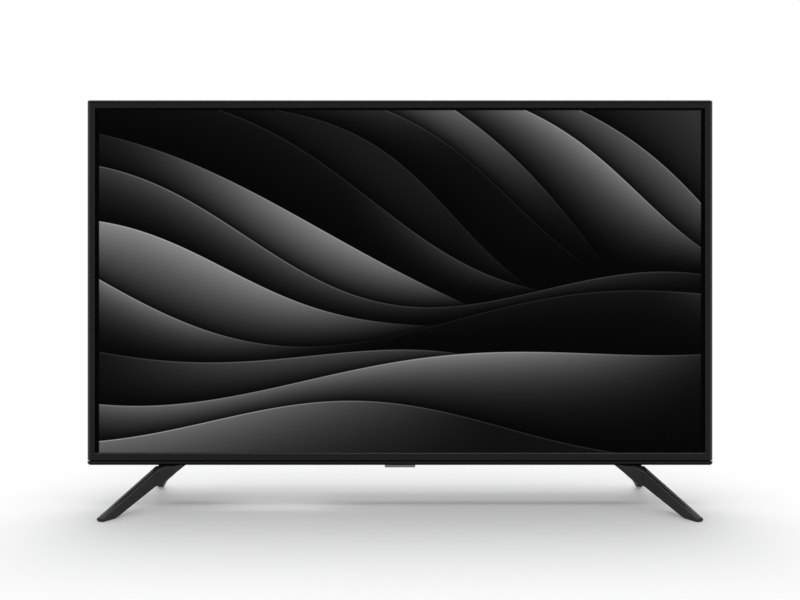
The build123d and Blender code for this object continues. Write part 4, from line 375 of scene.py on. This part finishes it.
def metal(name, colour, rough, stretch, spangle=0.0):
    """Bare or plated metal. Stretch is how far the brushing is drawn out along X."""
    net = new_material(name)
    where = net.place()[0]
    drawn = net.add("ShaderNodeMapping", None, {"Vector": where, "Scale": (1 / stretch, 1, 1)})
    lines = net.noise(drawn, LINE_SCALE, 2.0, 0.6)
    inputs = {"Vector": where, "Scale": CRYSTAL_SCALE}
    cells = net.add("ShaderNodeTexVoronoi", None, inputs, "Color")
    crystal = net.add("ShaderNodeSeparateColor", None, {0: cells}, 0)
    tone = net.blend(lines, shade(0.86, colour), shade(1.06, colour))
    tone = net.blend(crystal * spangle, tone, shade(1.25, colour))
    inputs = {
        "Base Color": tone,
        "Metallic": 1.0,
        "Roughness": rough + (lines - 0.5) * 0.16 + crystal * spangle * 0.2,
        "Normal": net.bump(lines, 0.00001, 0.5),
    }
    net.surface(net.add("ShaderNodeBsdfPrincipled", None, inputs))


metal("zinc_steel", (0.56, 0.57, 0.58), 0.36, 1.5, 0.5)
metal("nickel", (0.66, 0.64, 0.6), 0.22, 6.0)
metal("brass_plated", (0.72, 0.58, 0.3), 0.25, 4.0)
metal("aluminium", (0.66, 0.67, 0.68), 0.34, 12.0)
metal("black_screw", (0.035, 0.035, 0.036), 0.38, 2.0)
print("with the metals", len(MATERIALS))

# %% [markdown]
# ## Circuit boards and optical sheets
#
# A board is woven glass in resin under a coloured mask, with copper tracks that stand up a
# little underneath. A brick pattern gives the weave. The tracks run straight and turn at
# right angles, so they are lines of equal distance in a Voronoi texture that measures along
# the axes. The sheets behind the screen are milky films, and the lamps have clear lenses.

# %% Boards, films and lenses
WEAVE_SCALE = 900.0
TRACK_SCALE = 70.0
TRACK_COUNT = 9.0


def board(name, mask, track):
    """A circuit board in the colour of its mask, with raised tracks in another."""
    net = new_material(name)
    where = net.place()[0]
    weave = net.add(
        "ShaderNodeTexBrick",
        {"offset": 0.5},
        {"Vector": where, "Scale": WEAVE_SCALE, "Mortar Size": 0.02},
        "Fac",
    )
    squares = net.add(
        "ShaderNodeTexVoronoi",
        {"distance": "CHEBYCHEV"},
        {"Vector": where, "Scale": TRACK_SCALE, "Randomness": 0.85},
        "Distance",
    )
    copper = ((squares * TRACK_COUNT).math("FRACT") - 0.5).math("ABSOLUTE").step(0.3, 0.36)
    tone = net.blend(copper, shade(1.0, mask), shade(1.0, track))
    tone = net.blend(weave * 0.25, tone, shade(0.6, mask))
    inputs = {
        "Base Color": tone,
        "Roughness": 0.34 + weave * 0.1 + copper * 0.06,
        "Normal": net.bump(copper, 0.00003, 0.6),
    }
    net.surface(net.add("ShaderNodeBsdfPrincipled", None, inputs))


board("board_green", (0.012, 0.1, 0.045), (0.03, 0.2, 0.09))
board("board_tan", (0.42, 0.28, 0.11), (0.5, 0.36, 0.17))
plastic("optical_film", (0.78, 0.8, 0.82), 0.3, 0.0004, 0.00001, cloud=0.02)
plastic("clear_lens", (0.75, 0.78, 0.8), 0.12, 0.004, 0.00001, cloud=0.03)
plastic("smoked_lens", (0.25, 0.25, 0.255), 0.22, 0.003, 0.00001, 0.5, cloud=0.05)
print("with boards and films", len(MATERIALS))

# %% [markdown]
# ## The picture on the screen
#
# A showroom picture for a new set is usually an abstract one. This one is made of broad
# sheets of dark card that overlap like dunes. Each sheet has a wavy edge. The distance from
# that edge does everything: it says where the sheet covers what lies behind, how brightly its
# rim catches the light, and how dark a shadow it throws on the sheet behind. The sheets are
# laid one over another in a loop, so thirteen lines of sizes make the whole picture.

# %% Screen glass with its picture
GLASS_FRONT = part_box("filter_glass")[0].y
PICTURE_HALF = 0.3492
PICTURE_FOOT = 0.0601
PICTURE_HEAD = 0.4574
# Each sheet: turn in degrees, offset, wave height, waves per metre, phase, bow, body
# grey, rim grey, rim width and shadow width, from the farthest to the nearest
SHEETS = [
    (-34, 0.262, 0.026, 1.5, 0.3, -0.10, 0.020, 0.190, 0.050, 0.060),
    (-30, 0.216, 0.030, 1.7, 1.0, 0.20, 0.004, 0.300, 0.030, 0.050),
    (-38, 0.176, 0.022, 1.2, 2.0, -0.35, 0.012, 0.400, 0.052, 0.045),
    (-26, 0.138, 0.034, 1.6, 2.3, 0.10, 0.003, 0.160, 0.024, 0.035),
    (-31, 0.100, 0.024, 1.9, 3.1, -0.25, 0.010, 0.440, 0.042, 0.050),
    (-18, 0.072, 0.038, 1.4, 3.5, 0.25, 0.002, 0.200, 0.022, 0.034),
    (-24, 0.034, 0.026, 1.1, 4.4, -0.30, 0.008, 0.360, 0.050, 0.048),
    (-10, 0.012, 0.040, 1.5, 4.8, 0.15, 0.002, 0.130, 0.024, 0.032),
    (-16, -0.030, 0.026, 1.7, 5.4, -0.20, 0.006, 0.300, 0.044, 0.046),
    (-3, -0.052, 0.036, 1.3, 6.0, 0.30, 0.001, 0.220, 0.020, 0.036),
    (-9, -0.094, 0.024, 1.5, 0.6, -0.25, 0.004, 0.160, 0.040, 0.042),
    (4, -0.120, 0.030, 1.2, 1.2, 0.25, 0.001, 0.260, 0.022, 0.036),
    (-2, -0.160, 0.020, 1.6, 2.0, -0.15, 0.003, 0.140, 0.034, 0.040),
]
EDGE = 0.0005
CARD = 0.0013
CARD_LIGHT = 0.16
GLOW_PITCH = 5.2
GLOW_PHASE = 1.7
SHADOW_DEPTH = 0.97
HAZE_SCALE = 2600.0


def picture(net, x, z):
    """Grey value of the picture at a place on the screen."""
    middle = (PICTURE_FOOT + PICTURE_HEAD) / 2
    grey = (x * 0.1 + 0.012).math("MAXIMUM", 0.001)
    for turn, offset, wave, pitch, phase, bow, body, rim, rim_width, shadow in SHEETS:
        angle = math.radians(turn)
        along = x * math.cos(angle) + (z - middle) * math.sin(angle)
        across = (z - middle) * math.cos(angle) - x * math.sin(angle)
        line = (along * (pitch * 2 * math.pi) + phase).math("SINE") * wave
        inside = line + along * along * bow + offset - across
        cover = inside.step(-EDGE, EDGE)
        lit = (inside * (-1 / rim_width)).math("EXPONENT").math("MINIMUM", 1.0)
        glow = (along * GLOW_PITCH + phase * GLOW_PHASE).math("SINE") * 0.5 + 0.5
        side = glow.step(0.1, 0.95)
        cut_edge = 1 - inside.step(CARD * 0.6, CARD)
        sheet = lit * rim * (side * 0.92 + 0.03) + body * (1 - lit)
        sheet = sheet + cut_edge * (side * CARD_LIGHT + CARD_LIGHT / 10)
        dark = (inside * (1 / shadow)).math("EXPONENT").math("MINIMUM", 1.0)
        grey = grey * (1 - dark * SHADOW_DEPTH) * (1 - cover) + sheet * cover
    return grey


net = new_material("screen_picture")
where, (x, y, z) = net.place()
grey = picture(net, x, z)
across = PICTURE_HALF - x.math("ABSOLUTE")
lit_area = (
    across.step(-EDGE, EDGE)
    * (z - PICTURE_FOOT).step(-EDGE, EDGE)
    * (PICTURE_HEAD - z).step(-EDGE, EDGE)
    * (GLASS_FRONT + EDGE - y).step(0.0, EDGE / 2)
)
haze = net.noise(where, HAZE_SCALE, 1.0)
tint = net.add("ShaderNodeCombineColor", None, {0: grey, 1: grey, 2: grey})
shine = net.blend(lit_area, (0, 0, 0, 1), tint)
inputs = {
    "Base Color": net.blend(haze, (0.0003, 0.0003, 0.0004, 1), (0.0007, 0.0007, 0.0008, 1)),
    "Roughness": 0.26 + haze * 0.06,
    "Specular IOR Level": 0.02,
    "Emission Color": shine,
    "Emission Strength": 1.0,
    "Normal": net.bump(haze, 0.000004, 0.4),
}
net.surface(net.add("ShaderNodeBsdfPrincipled", None, inputs))
plastic("screen_glass", (0.008, 0.008, 0.009), 0.15, 0.003, 0.00001, 0.4)
print("picture of", len(SHEETS), "sheets,", len(net.tree.nodes), "nodes")

# %% [markdown]
# ## Dressing the solids
#
# The record of the model names a material slot for each solid. A solid keeps its shape, so
# the finish is assigned to the object's own slot and the mesh stays as it was.

# %% Give each solid its finish
FINISH = {part["node"]: part["material_slot"] for part in frame["record"]["subparts"]}
FINISH["filter_glass"] = "screen_picture"
FINISH["bottom_trim"] = "trim_black"
for name, item in nodes.items():
    finish = MATERIALS[FINISH[name]]
    if not item.material_slots:
        item.data.materials.append(finish)
    for place in item.material_slots:
        place.link = "OBJECT"
        place.material = finish
print("dressed", len(nodes), "solids")

# %% [markdown]
# ## Measuring the solids
#
# The small parts have to sit exactly on what carries them. The solids are already in place,
# so their own meshes are the ruler: one object may hold several loose solids, and each of
# them is found by walking along its edges from any corner until no new corner turns up.

# %% Loose solids of a node
def loose_solids(name):
    """Corner points of each loose solid of a node, sorted by place."""
    shape = bmesh.new()
    shape.from_mesh(nodes[name].data)
    bmesh.ops.remove_doubles(shape, verts=shape.verts, dist=0.00001)
    left = set(shape.verts)
    solids = []
    for start in shape.verts:
        if start not in left:
            continue
        left.discard(start)
        reached, waiting = [start], [start]
        while waiting:
            for edge in waiting.pop().link_edges:
                for corner in edge.verts:
                    if corner in left:
                        left.discard(corner)
                        reached.append(corner)
                        waiting.append(corner)
        solids.append([corner.co.copy() for corner in reached])
    shape.free()
    return sorted(solids, key=lambda points: tuple(round(v, 5) for v in points_box(points)[0]))


def points_box(points):
    """Lowest and highest corner of a list of points."""
    low = Vector(min(point[axis] for point in points) for axis in range(3))
    high = Vector(max(point[axis] for point in points) for axis in range(3))
    return low, high


print("screws in the cover", len(loose_solids("cover_screws")))

# %% [markdown]
# ## Growing what repeats
#
# Screws, contacts and threads repeat, so Geometry Nodes make them: a tree takes a mesh that is
# nothing but points, puts a copy of a small shape on each of them, makes the copies real and
# gives them their material. The tree is built with the same wrapper as the materials. Its
# result is turned into a plain mesh at once, so nothing is left live on the piece.

# %% Helpers for Geometry Nodes
NUMBER = "NodeSocketFloat"
WHOLE = "NodeSocketInt"
ARROW = "NodeSocketVector"
SHAPE = "NodeSocketGeometry"
FINISH_SOCKET = "NodeSocketMaterial"
SPIN_SEED = 7
BODY = "television"


def grow_tree(name, inputs):
    """A new tree with named inputs: gives its net and a value for each input."""
    tree = bpy.data.node_groups.new(name, "GeometryNodeTree")
    inputs = {"Points": SHAPE, **inputs, "Finish": FINISH_SOCKET}
    for label, kind in inputs.items():
        tree.interface.new_socket(label, in_out="INPUT", socket_type=kind)
    tree.interface.new_socket("Mesh", in_out="OUTPUT", socket_type=SHAPE)
    net = Net(tree)
    entry = tree.nodes.new("NodeGroupInput")
    return net, {socket.name: Value(net, socket) for socket in entry.outputs if socket.name}


def place_copies(net, given, shape, spin=0.0):
    """Ends a tree: a copy of the shape on each point, made real, with its finish."""
    inputs = {"Points": given["Points"], "Instance": shape, "Rotation": given["Facing"]}
    copies = net.add("GeometryNodeInstanceOnPoints", None, inputs)
    if spin:
        inputs = {2: 0.0, 3: spin, "Seed": SPIN_SEED}
        turn = net.add("FunctionNodeRandomValue", {"data_type": "FLOAT"}, inputs, 1)
        about = net.add("ShaderNodeCombineXYZ", None, {2: turn})
        inputs = {"Instances": copies, "Rotation": about}
        copies = net.add("GeometryNodeRotateInstances", None, inputs)
    real = net.add("GeometryNodeRealizeInstances", None, {0: copies})
    dressed = net.add("GeometryNodeSetMaterial", None, {0: real, "Material": given["Finish"]})
    out = net.tree.nodes.new("NodeGroupOutput")
    net.tree.links.new(dressed.socket, out.inputs[0])


def grow(name, net, points, finish, sizes, replaced=None):
    """Runs a tree on points and keeps the result as a plain piece that rides on the set."""
    seeds = bpy.data.meshes.new(name)
    seeds.from_pydata([tuple(point) for point in points], [], [])
    piece = bpy.data.objects.new(name, seeds)
    modifier = piece.modifiers.new("grow", "NODES")
    modifier.node_group = net.tree
    sizes = {**sizes, "Finish": MATERIALS[finish]}
    for socket in net.tree.interface.items_tree:
        if socket.in_out == "INPUT" and socket.name in sizes:
            modifier[socket.identifier] = sizes[socket.name]
    scene.collection.objects.link(piece)
    grown = piece.evaluated_get(bpy.context.evaluated_depsgraph_get())
    shape = bpy.data.meshes.new_from_object(grown)
    piece.modifiers.clear()
    piece.data = shape
    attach(piece, BODY)
    if replaced:
        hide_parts(replaced)
    low, high = points_box([corner.co for corner in shape.vertices])
    print(name, len(shape.polygons), "faces", [round(1000 * v, 1) for v in (*low, *high)])


print("helpers ready")

# %% [markdown]
# ## Screws with a cross recess
#
# The cover and the feet are held by black self-tapping screws with a domed head and a cross
# recess. The head is a short cylinder in rings, pulled in towards its top by a power of the
# height. Two thin blocks are cut out of it for the recess. The thread is a cylinder whose
# rings go in and out by turns. Every screw is turned by chance, with a fixed seed, as a
# driver leaves them.

# %% Cross recess screws
def scaled_about_axis(net, mesh, share):
    """Moves each point of a mesh towards or away from the Z axis by a share."""
    where = net.add("GeometryNodeInputPosition")
    x, y, z = [net.add("ShaderNodeSeparateXYZ", None, {0: where}, out) for out in range(3)]
    factor = share(z)
    moved = net.add("ShaderNodeCombineXYZ", None, {0: x * factor, 1: y * factor, 2: z})
    return net.add("GeometryNodeSetPosition", None, {"Geometry": mesh, "Position": moved})


def groove_depth(z):
    """0 in the middle of each turn of a screw thread and 1 between two turns."""
    return ((z / given["Pitch"]).math("FRACT") - 0.5).math("ABSOLUTE") * 2


SCREW_SIZES = {
    "Head radius": NUMBER,
    "Head height": NUMBER,
    "Shaft radius": NUMBER,
    "Shaft length": NUMBER,
    "Pitch": NUMBER,
    "Rings": WHOLE,
    "Facing": ARROW,
}
DOME_SHARE = 0.35
RECESS_SHARES = (1.25, 0.26, 1.1)  # length and width for the radius, depth for the height
THREAD_SHARE = 0.2
HEAD_SHARE = 0.95
BELOW_HEAD = 0.001
net, given = grow_tree("screw", SCREW_SIZES)
wide, tall = given["Head radius"], given["Head height"]
blank = net.add(
    "GeometryNodeMeshCone",
    None,
    {"Vertices": 28, "Side Segments": 6, "Radius Top": wide, "Radius Bottom": wide, "Depth": tall},
)
head = scaled_about_axis(net, blank, lambda z: 1 - (z / tall) ** 3 * DOME_SHARE)
for crossed in (False, True):
    long, thin = wide * RECESS_SHARES[0], wide * RECESS_SHARES[1]
    sides = (thin, long) if crossed else (long, thin)
    inputs = {0: sides[0], 1: sides[1], 2: tall * RECESS_SHARES[2]}
    size = net.add("ShaderNodeCombineXYZ", None, inputs)
    block = net.add("GeometryNodeMeshCube", None, {"Size": size})
    lift = net.add("ShaderNodeCombineXYZ", None, {2: tall})
    cutter = net.add("GeometryNodeTransform", None, {"Geometry": block, "Translation": lift})
    head = net.add("GeometryNodeMeshBoolean", {"operation": "DIFFERENCE"}, {0: head, 1: [cutter]})
shaft = net.add(
    "GeometryNodeMeshCone",
    None,
    {
        "Vertices": 12,
        "Side Segments": given["Rings"],
        "Radius Top": given["Shaft radius"],
        "Radius Bottom": given["Shaft radius"],
        "Depth": given["Shaft length"],
    },
)
shaft = scaled_about_axis(net, shaft, lambda z: 1 - groove_depth(z) * THREAD_SHARE)
drop = net.add("ShaderNodeCombineXYZ", None, {2: -given["Shaft length"]})
shaft = net.add("GeometryNodeTransform", None, {"Geometry": shaft, "Translation": drop})
screw = net.add("GeometryNodeJoinGeometry", None, {0: [head, shaft]})
place_copies(net, given, screw, spin=math.pi)


def driven_screws(name, node, axis, way, pitch):
    """Screws in the place of a node's. Axis and way say where their heads point."""
    seats = []
    for points in loose_solids(node):
        low, high = points_box(points)
        middle = (low + high) / 2
        wide = (high[(axis + 1) % 3] - low[(axis + 1) % 3]) / 2
        radii = []
        for point in points:
            apart = point - middle
            apart[axis] = 0
            radii.append((apart.length, point[axis] * way))
        seat = min(height for radius, height in radii if radius > wide * HEAD_SHARE)
        tip = min(height for radius, height in radii)
        top = max(height for radius, height in radii)
        thin = max(radius for radius, height in radii if height < seat - BELOW_HEAD)
        middle[axis] = seat * way
        seats.append(middle)
    facing = [0.0, 0.0, 0.0]
    facing[0] = -way * math.pi / 2 if axis == 1 else math.pi * (1 - way) / 2
    sizes = {
        "Head radius": wide,
        "Head height": top - seat,
        "Shaft radius": thin,
        "Shaft length": seat - tip,
        "Pitch": pitch,
        "Rings": round(2 * (seat - tip) / pitch),
        "Facing": facing,
    }
    grow(name, net, seats, "black_screw", sizes, node)


COVER_PITCH = 0.0012
FEET_PITCH = 0.0014
driven_screws("cross_screws_cover", "cover_screws", 1, 1, COVER_PITCH)
driven_screws("cross_screws_feet", "leg_screws", 2, -1, FEET_PITCH)

# %% [markdown]
# ## Contacts in the sockets
#
# Inside each video and USB socket a black tongue carries gilt contacts, and the network
# socket has eight springy wires. They all are bars with a nose that is drawn in where the
# plug enters, so one tree makes them. Its bars point along Z, and the facing turns them
# towards the mouth of the socket.

# %% Tongues, contacts and wires
BAR_SIZES = {"Wide": NUMBER, "Thick": NUMBER, "Long": NUMBER, "Nose": NUMBER, "Facing": ARROW}
net, given = grow_tree("bar", BAR_SIZES)
size = net.add(
    "ShaderNodeCombineXYZ", None, {0: given["Wide"], 1: given["Thick"], 2: given["Long"]}
)
bar = net.add("GeometryNodeMeshCube", None, {"Size": size, "Vertices Z": 8})
bar = scaled_about_axis(
    net,
    bar,
    lambda z: 1 - (z * 2 / given["Long"]).math("MAXIMUM", 0.0) ** 6 * given["Nose"],
)
place_copies(net, given, bar)
bar_tree = net

TO_SIDE = (0.0, -math.pi / 2, 0.0)
TO_FOOT = (math.pi, 0.0, 0.0)
TONGUE_COAT = 0.00012
CONTACT_T = 0.00014
CONTACT_SHARE = 0.86
TONGUE_NOSE = 0.35
CONTACT_NOSE = 0.5


def tongues_and_contacts(name, node, chosen, facing, tongue, contact, rows):
    """Tongue and contacts in some sockets of a node. Rows: count, side of tongue, pitch."""
    wide, thick, inset, back = tongue
    bars, contacts = [], []
    for index in chosen:
        low, high = points_box(loose_solids(node)[index])
        middle = (low + high) / 2
        along = 0 if facing == TO_SIDE else 2
        across = 2 - along
        middle[along] = (low[along] + inset + high[along] - back) / 2
        long = high[along] - back - low[along] - inset
        bars.append(middle)
        for count, side, pitch in rows:
            for number in range(count):
                spot = middle.copy()
                spot[across] += (number - (count - 1) / 2) * pitch
                spot.y += side * (thick / 2 + CONTACT_T / 2)
                contacts.append(spot)
    sizes = {"Wide": wide, "Thick": thick, "Long": long, "Nose": TONGUE_NOSE, "Facing": facing}
    grow(name + "_tongues", bar_tree, bars, "socket_black", sizes)
    sizes = {"Wide": contact, "Thick": CONTACT_T, "Nose": CONTACT_NOSE, "Facing": facing}
    sizes["Long"] = long * CONTACT_SHARE
    grow(name + "_contacts", bar_tree, contacts, "brass_plated", sizes)


def coated(wide, thick, inset, back):
    """Sizes of a tongue that covers the plain one of the solid on every side."""
    return wide + 2 * TONGUE_COAT, thick + 2 * TONGUE_COAT, inset - TONGUE_COAT, back


# Width, thickness, distance in from the mouth and from the back; then the contact's width
VIDEO = (coated(0.0114, 0.001, 0.006, 0.0005), 0.00045, ((10, 1, 0.001), (9, -1, 0.001)))
USB = (coated(0.0104, 0.001, 0.007, 0.0005), 0.0011, ((4, 1, 0.0023),))
tongues_and_contacts("video_side", "video_sockets", (0, 1), TO_SIDE, *VIDEO)
tongues_and_contacts("video_foot", "video_sockets", (2,), TO_FOOT, *VIDEO)
tongues_and_contacts("usb_side", "usb_sockets", (0, 1), TO_SIDE, *USB)

WIRE_COUNT = 8
WIRE_PITCH = 0.00102
WIRE_R = 0.00022
WIRE_LONG = 0.0085
WIRE_LEAN = 0.42
WIRE_IN = 0.0042
WIRE_UP = 0.0074
lan_low, lan_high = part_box("lan_socket")
lan_middle = (lan_low + lan_high) / 2
wires = [
    (
        lan_middle.x + (number - (WIRE_COUNT - 1) / 2) * WIRE_PITCH,
        lan_low.y + WIRE_IN,
        lan_low.z + WIRE_UP,
    )
    for number in range(WIRE_COUNT)
]
sizes = {
    "Wide": 2 * WIRE_R,
    "Thick": 2 * WIRE_R,
    "Long": WIRE_LONG,
    "Nose": CONTACT_NOSE,
    "Facing": (math.pi - WIRE_LEAN, 0.0, 0.0),
}
grow("lan_wires", bar_tree, wires, "brass_plated", sizes)

# %% [markdown]
# ## Threads for the wall mount
#
# The four posts behind the wall mount are steel, with a screw thread that shows as fine
# bright rings in the hole. A spiral curve with a small three-sided profile is that thread.
# Its start and end stay inside the hole.

# %% Threads in the posts
THREAD_PITCH = 0.0007
THREAD_TURNS = 12
THREAD_DEPTH = 0.0003
THREAD_START = 0.0008
RIM = 0.0002
bores = []
for points in loose_solids("mount_pillars"):
    low, high = points_box(points)
    middle = (low + high) / 2
    rim = [point for point in points if point.y > high.y - RIM]
    bore = min(math.hypot(point.x - middle.x, point.z - middle.z) for point in rim)
    mouth = min(point.y for point in rim)
    bores.append((middle.x, mouth - THREAD_START - THREAD_TURNS * THREAD_PITCH, middle.z))
THREAD_SIZES = {"Bore": NUMBER, "Rise": NUMBER, "Turns": NUMBER, "Facing": ARROW}
net, given = grow_tree("thread", THREAD_SIZES)
spiral = net.add(
    "GeometryNodeCurveSpiral",
    None,
    {
        "Resolution": 20,
        "Rotations": given["Turns"],
        "Start Radius": given["Bore"],
        "End Radius": given["Bore"],
        "Height": given["Rise"],
    },
)
inputs = {"Resolution": 3, "Radius": THREAD_DEPTH}
crest = net.add("GeometryNodeCurvePrimitiveCircle", None, inputs)
ridge = net.add("GeometryNodeCurveToMesh", None, {0: spiral, 1: crest, "Fill Caps": True})
place_copies(net, given, ridge)
sizes = {
    "Bore": bore - THREAD_DEPTH / 2,
    "Rise": THREAD_TURNS * THREAD_PITCH,
    "Turns": float(THREAD_TURNS),
    "Facing": (-math.pi / 2, 0.0, 0.0),
}
grow("mount_threads", net, bores, "zinc_steel", sizes)
print("bore", round(1000 * bore, 2), "mm")

# %% [markdown]
# ## Turned parts of the sockets
#
# The headphone socket has a metal ring round its mouth, the aerial socket has a contact tube on
# an insulating disc, and the mains inlet has two plated pins. Such parts are turned on a lathe,
# and so are these: a profile is carried round an axis and joined to a closed ring of faces.

# %% Ring, tube, disc and pins
def turned(name, outline, at, facing, finish, segments=32):
    """A closed outline of radius and height, turned about Z, then faced and placed."""
    rings = []
    shape = bmesh.new()
    for number in range(segments):
        angle = 2 * math.pi * number / segments
        rings.append(
            [shape.verts.new((r * math.cos(angle), r * math.sin(angle), h)) for r, h in outline]
        )
    for number in range(segments):
        this, other = rings[number - 1], rings[number]
        for place in range(len(outline)):
            shape.faces.new((this[place - 1], this[place], other[place], other[place - 1]))
    bmesh.ops.recalc_face_normals(shape, faces=shape.faces)
    mesh = bpy.data.meshes.new(name)
    shape.to_mesh(mesh)
    shape.free()
    mesh.transform(Matrix.Translation(at) @ Euler(facing).to_matrix().to_4x4())
    mesh.materials.append(MATERIALS[finish])
    piece = bpy.data.objects.new(name, mesh)
    scene.collection.objects.link(piece)
    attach(piece, BODY)


jack_low, jack_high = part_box("headphone_jack")
jack_mouth = (jack_low + jack_high) / 2
jack_mouth.x = jack_low.x
JACK_RING = [(0.0017, -0.003), (0.0017, 0.0), (0.0019, 0.00018), (0.0025, 0.00018)]
JACK_RING += [(0.0027, 0.0), (0.0027, -0.0001), (0.00178, -0.0001), (0.00178, -0.003)]
turned("jack_ring", JACK_RING, jack_mouth, TO_SIDE, "nickel")

aerial_low, aerial_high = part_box("aerial_socket")
aerial_mouth = (aerial_low + aerial_high) / 2
aerial_mouth.z = aerial_low.z
AERIAL_TUBE = [(0.0006, -0.0085), (0.0006, -0.001), (0.0008, -0.0008), (0.0011, -0.0008)]
AERIAL_TUBE += [(0.0013, -0.0011), (0.0013, -0.0085)]
turned("aerial_tube", AERIAL_TUBE, aerial_mouth, TO_FOOT, "nickel")
AERIAL_DISC = [(0.0014, -0.0088), (0.0014, -0.0072), (0.0031, -0.0072), (0.0033, -0.0074)]
AERIAL_DISC += [(0.0033, -0.0088)]
turned("aerial_disc", AERIAL_DISC, aerial_mouth, TO_FOOT, "white_plastic")

TO_POWER = (0.0, math.pi / 2, 0.0)
INLET_WELL = 0.014
PIN_APART = 0.0086
PIN_SLEEVE = [(0.0001, 0.00802), (0.0001, 0.00812), (0.001, 0.00812), (0.00126, 0.0078)]
PIN_SLEEVE += [(0.00126, 0.0001), (0.00121, 0.0001), (0.00121, 0.00802)]
inlet_low, inlet_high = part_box("mains_inlet")
inlet_middle = (inlet_low + inlet_high) / 2
for side, name in ((-1, "inlet_pin_low"), (1, "inlet_pin_high")):
    foot = inlet_middle + Vector((0.0, 0.0, side * PIN_APART / 2))
    foot.x = inlet_high.x - INLET_WELL
    turned(name, PIN_SLEEVE, foot, TO_POWER, "nickel")
print("turned parts: ring, tube, disc and two pins")

# %% [markdown]
# ## Floor, backdrop and light
#
# The set stands on a pale floor that runs out into a white background. The light is plain
# and soft: a sky all round that is weaker from the viewer's side, and four lamps. The wide one
# behind and the narrow one overhead draw the dark line under the set between them, and the two
# at the sides keep the edges of the frame from turning black.

# %% Floor and light
FLOOR_HALF = 8.0
SHADOW_HALF = 0.3
SHADOW_REACH = 0.42
floor_mesh = bpy.data.meshes.new("floor")
corners = [(-FLOOR_HALF, -FLOOR_HALF), (FLOOR_HALF, -FLOOR_HALF)]
corners += [(FLOOR_HALF, FLOOR_HALF), (-FLOOR_HALF, FLOOR_HALF)]
floor_mesh.from_pydata([(px, py, 0) for px, py in corners], [], [(0, 1, 2, 3)])
floor = bpy.data.objects.new("floor", floor_mesh)
scene.collection.objects.link(floor)
floor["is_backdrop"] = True


def looked_at(net):
    """1 for rays that show the background: from the camera, or off metal, or through glass."""
    kinds = ("Is Camera Ray", "Is Glossy Ray", "Is Transmission Ray")
    rays = [net.add("ShaderNodeLightPath", out=kind) for kind in kinds]
    return (rays[0] + rays[1] + rays[2]).math("MINIMUM", 1.0)


net = new_material("floor_pale")
where, (x, y, z) = net.place()
beside = (x.math("ABSOLUTE") - SHADOW_HALF).math("MAXIMUM", 0.0)
away = (beside * beside * 4.0 + y * y).math("SQRT").step(0.0, SHADOW_REACH)
inputs = {
    "Base Color": net.blend(net.noise(where, 3.0), (0.78, 0.78, 0.785, 1), (0.8, 0.8, 0.805, 1)),
    "Roughness": 0.6,
    "Specular IOR Level": 0.2,
}
paint = net.add("ShaderNodeBsdfPrincipled", None, inputs)
white = net.add("ShaderNodeEmission", None, {"Color": (1, 1, 1, 1), "Strength": 1.0})
net.surface(net.add("ShaderNodeMixShader", None, {0: away * looked_at(net), 1: paint, 2: white}))
floor.data.materials.append(MATERIALS["floor_pale"])

world = bpy.data.worlds.new("studio")
scene.world = world
world.use_nodes = True
net = Net(world.node_tree)
direction = net.add("ShaderNodeTexCoord", out="Generated")
up = net.add("ShaderNodeSeparateXYZ", None, {0: direction}, 2)
back = net.add("ShaderNodeSeparateXYZ", None, {0: direction}, 1)
seen = looked_at(net)
level = 0.48 + back.step(-0.5, 0.5) * 0.42 + up.step(0.1, 0.9) * 0.08
strength = seen + (1 - seen) * level
sky = net.add("ShaderNodeBackground", None, {"Color": (1, 1, 1, 1), "Strength": strength})
out = net.tree.nodes.new("ShaderNodeOutputWorld")
net.tree.links.new(sky.socket, out.inputs["Surface"])


def lamp(name, at, aim, size, power):
    """A rectangular lamp of a size in metres and a power in watts, aimed at a point."""
    data = bpy.data.lights.new(name, "AREA")
    data.shape = "RECTANGLE"
    data.size, data.size_y = size
    data.energy = power
    item = bpy.data.objects.new(name, data)
    item.location = at
    item.rotation_euler = (Vector(aim) - Vector(at)).to_track_quat("-Z", "Y").to_euler()
    scene.collection.objects.link(item)


lamp("behind", (0.0, 1.5, 1.15), (0.0, 0.0, 0.1), (3.6, 0.25), 17.5)
lamp("overhead", (0.0, -0.03, 1.4), (0.0, -0.03, 0.0), (1.2, 0.12), 3.0)
lamp("left_side", (-1.3, -0.6, 0.7), (-0.2, 0.0, 0.2), (0.5, 1.2), 2.0)
lamp("right_side", (1.3, -0.6, 0.7), (0.2, 0.0, 0.2), (0.5, 1.2), 2.0)
scene.view_settings.view_transform = "Standard"

# %% [markdown]
# ## Measure and finish
#
# The dressed set should stay inside the box of the solid model. Both boxes are printed.

# %% Size and finish
low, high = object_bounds()
sizes = {"cad": [list(cad_low), list(cad_high)], "visual": [list(low), list(high)]}
print(sizes)
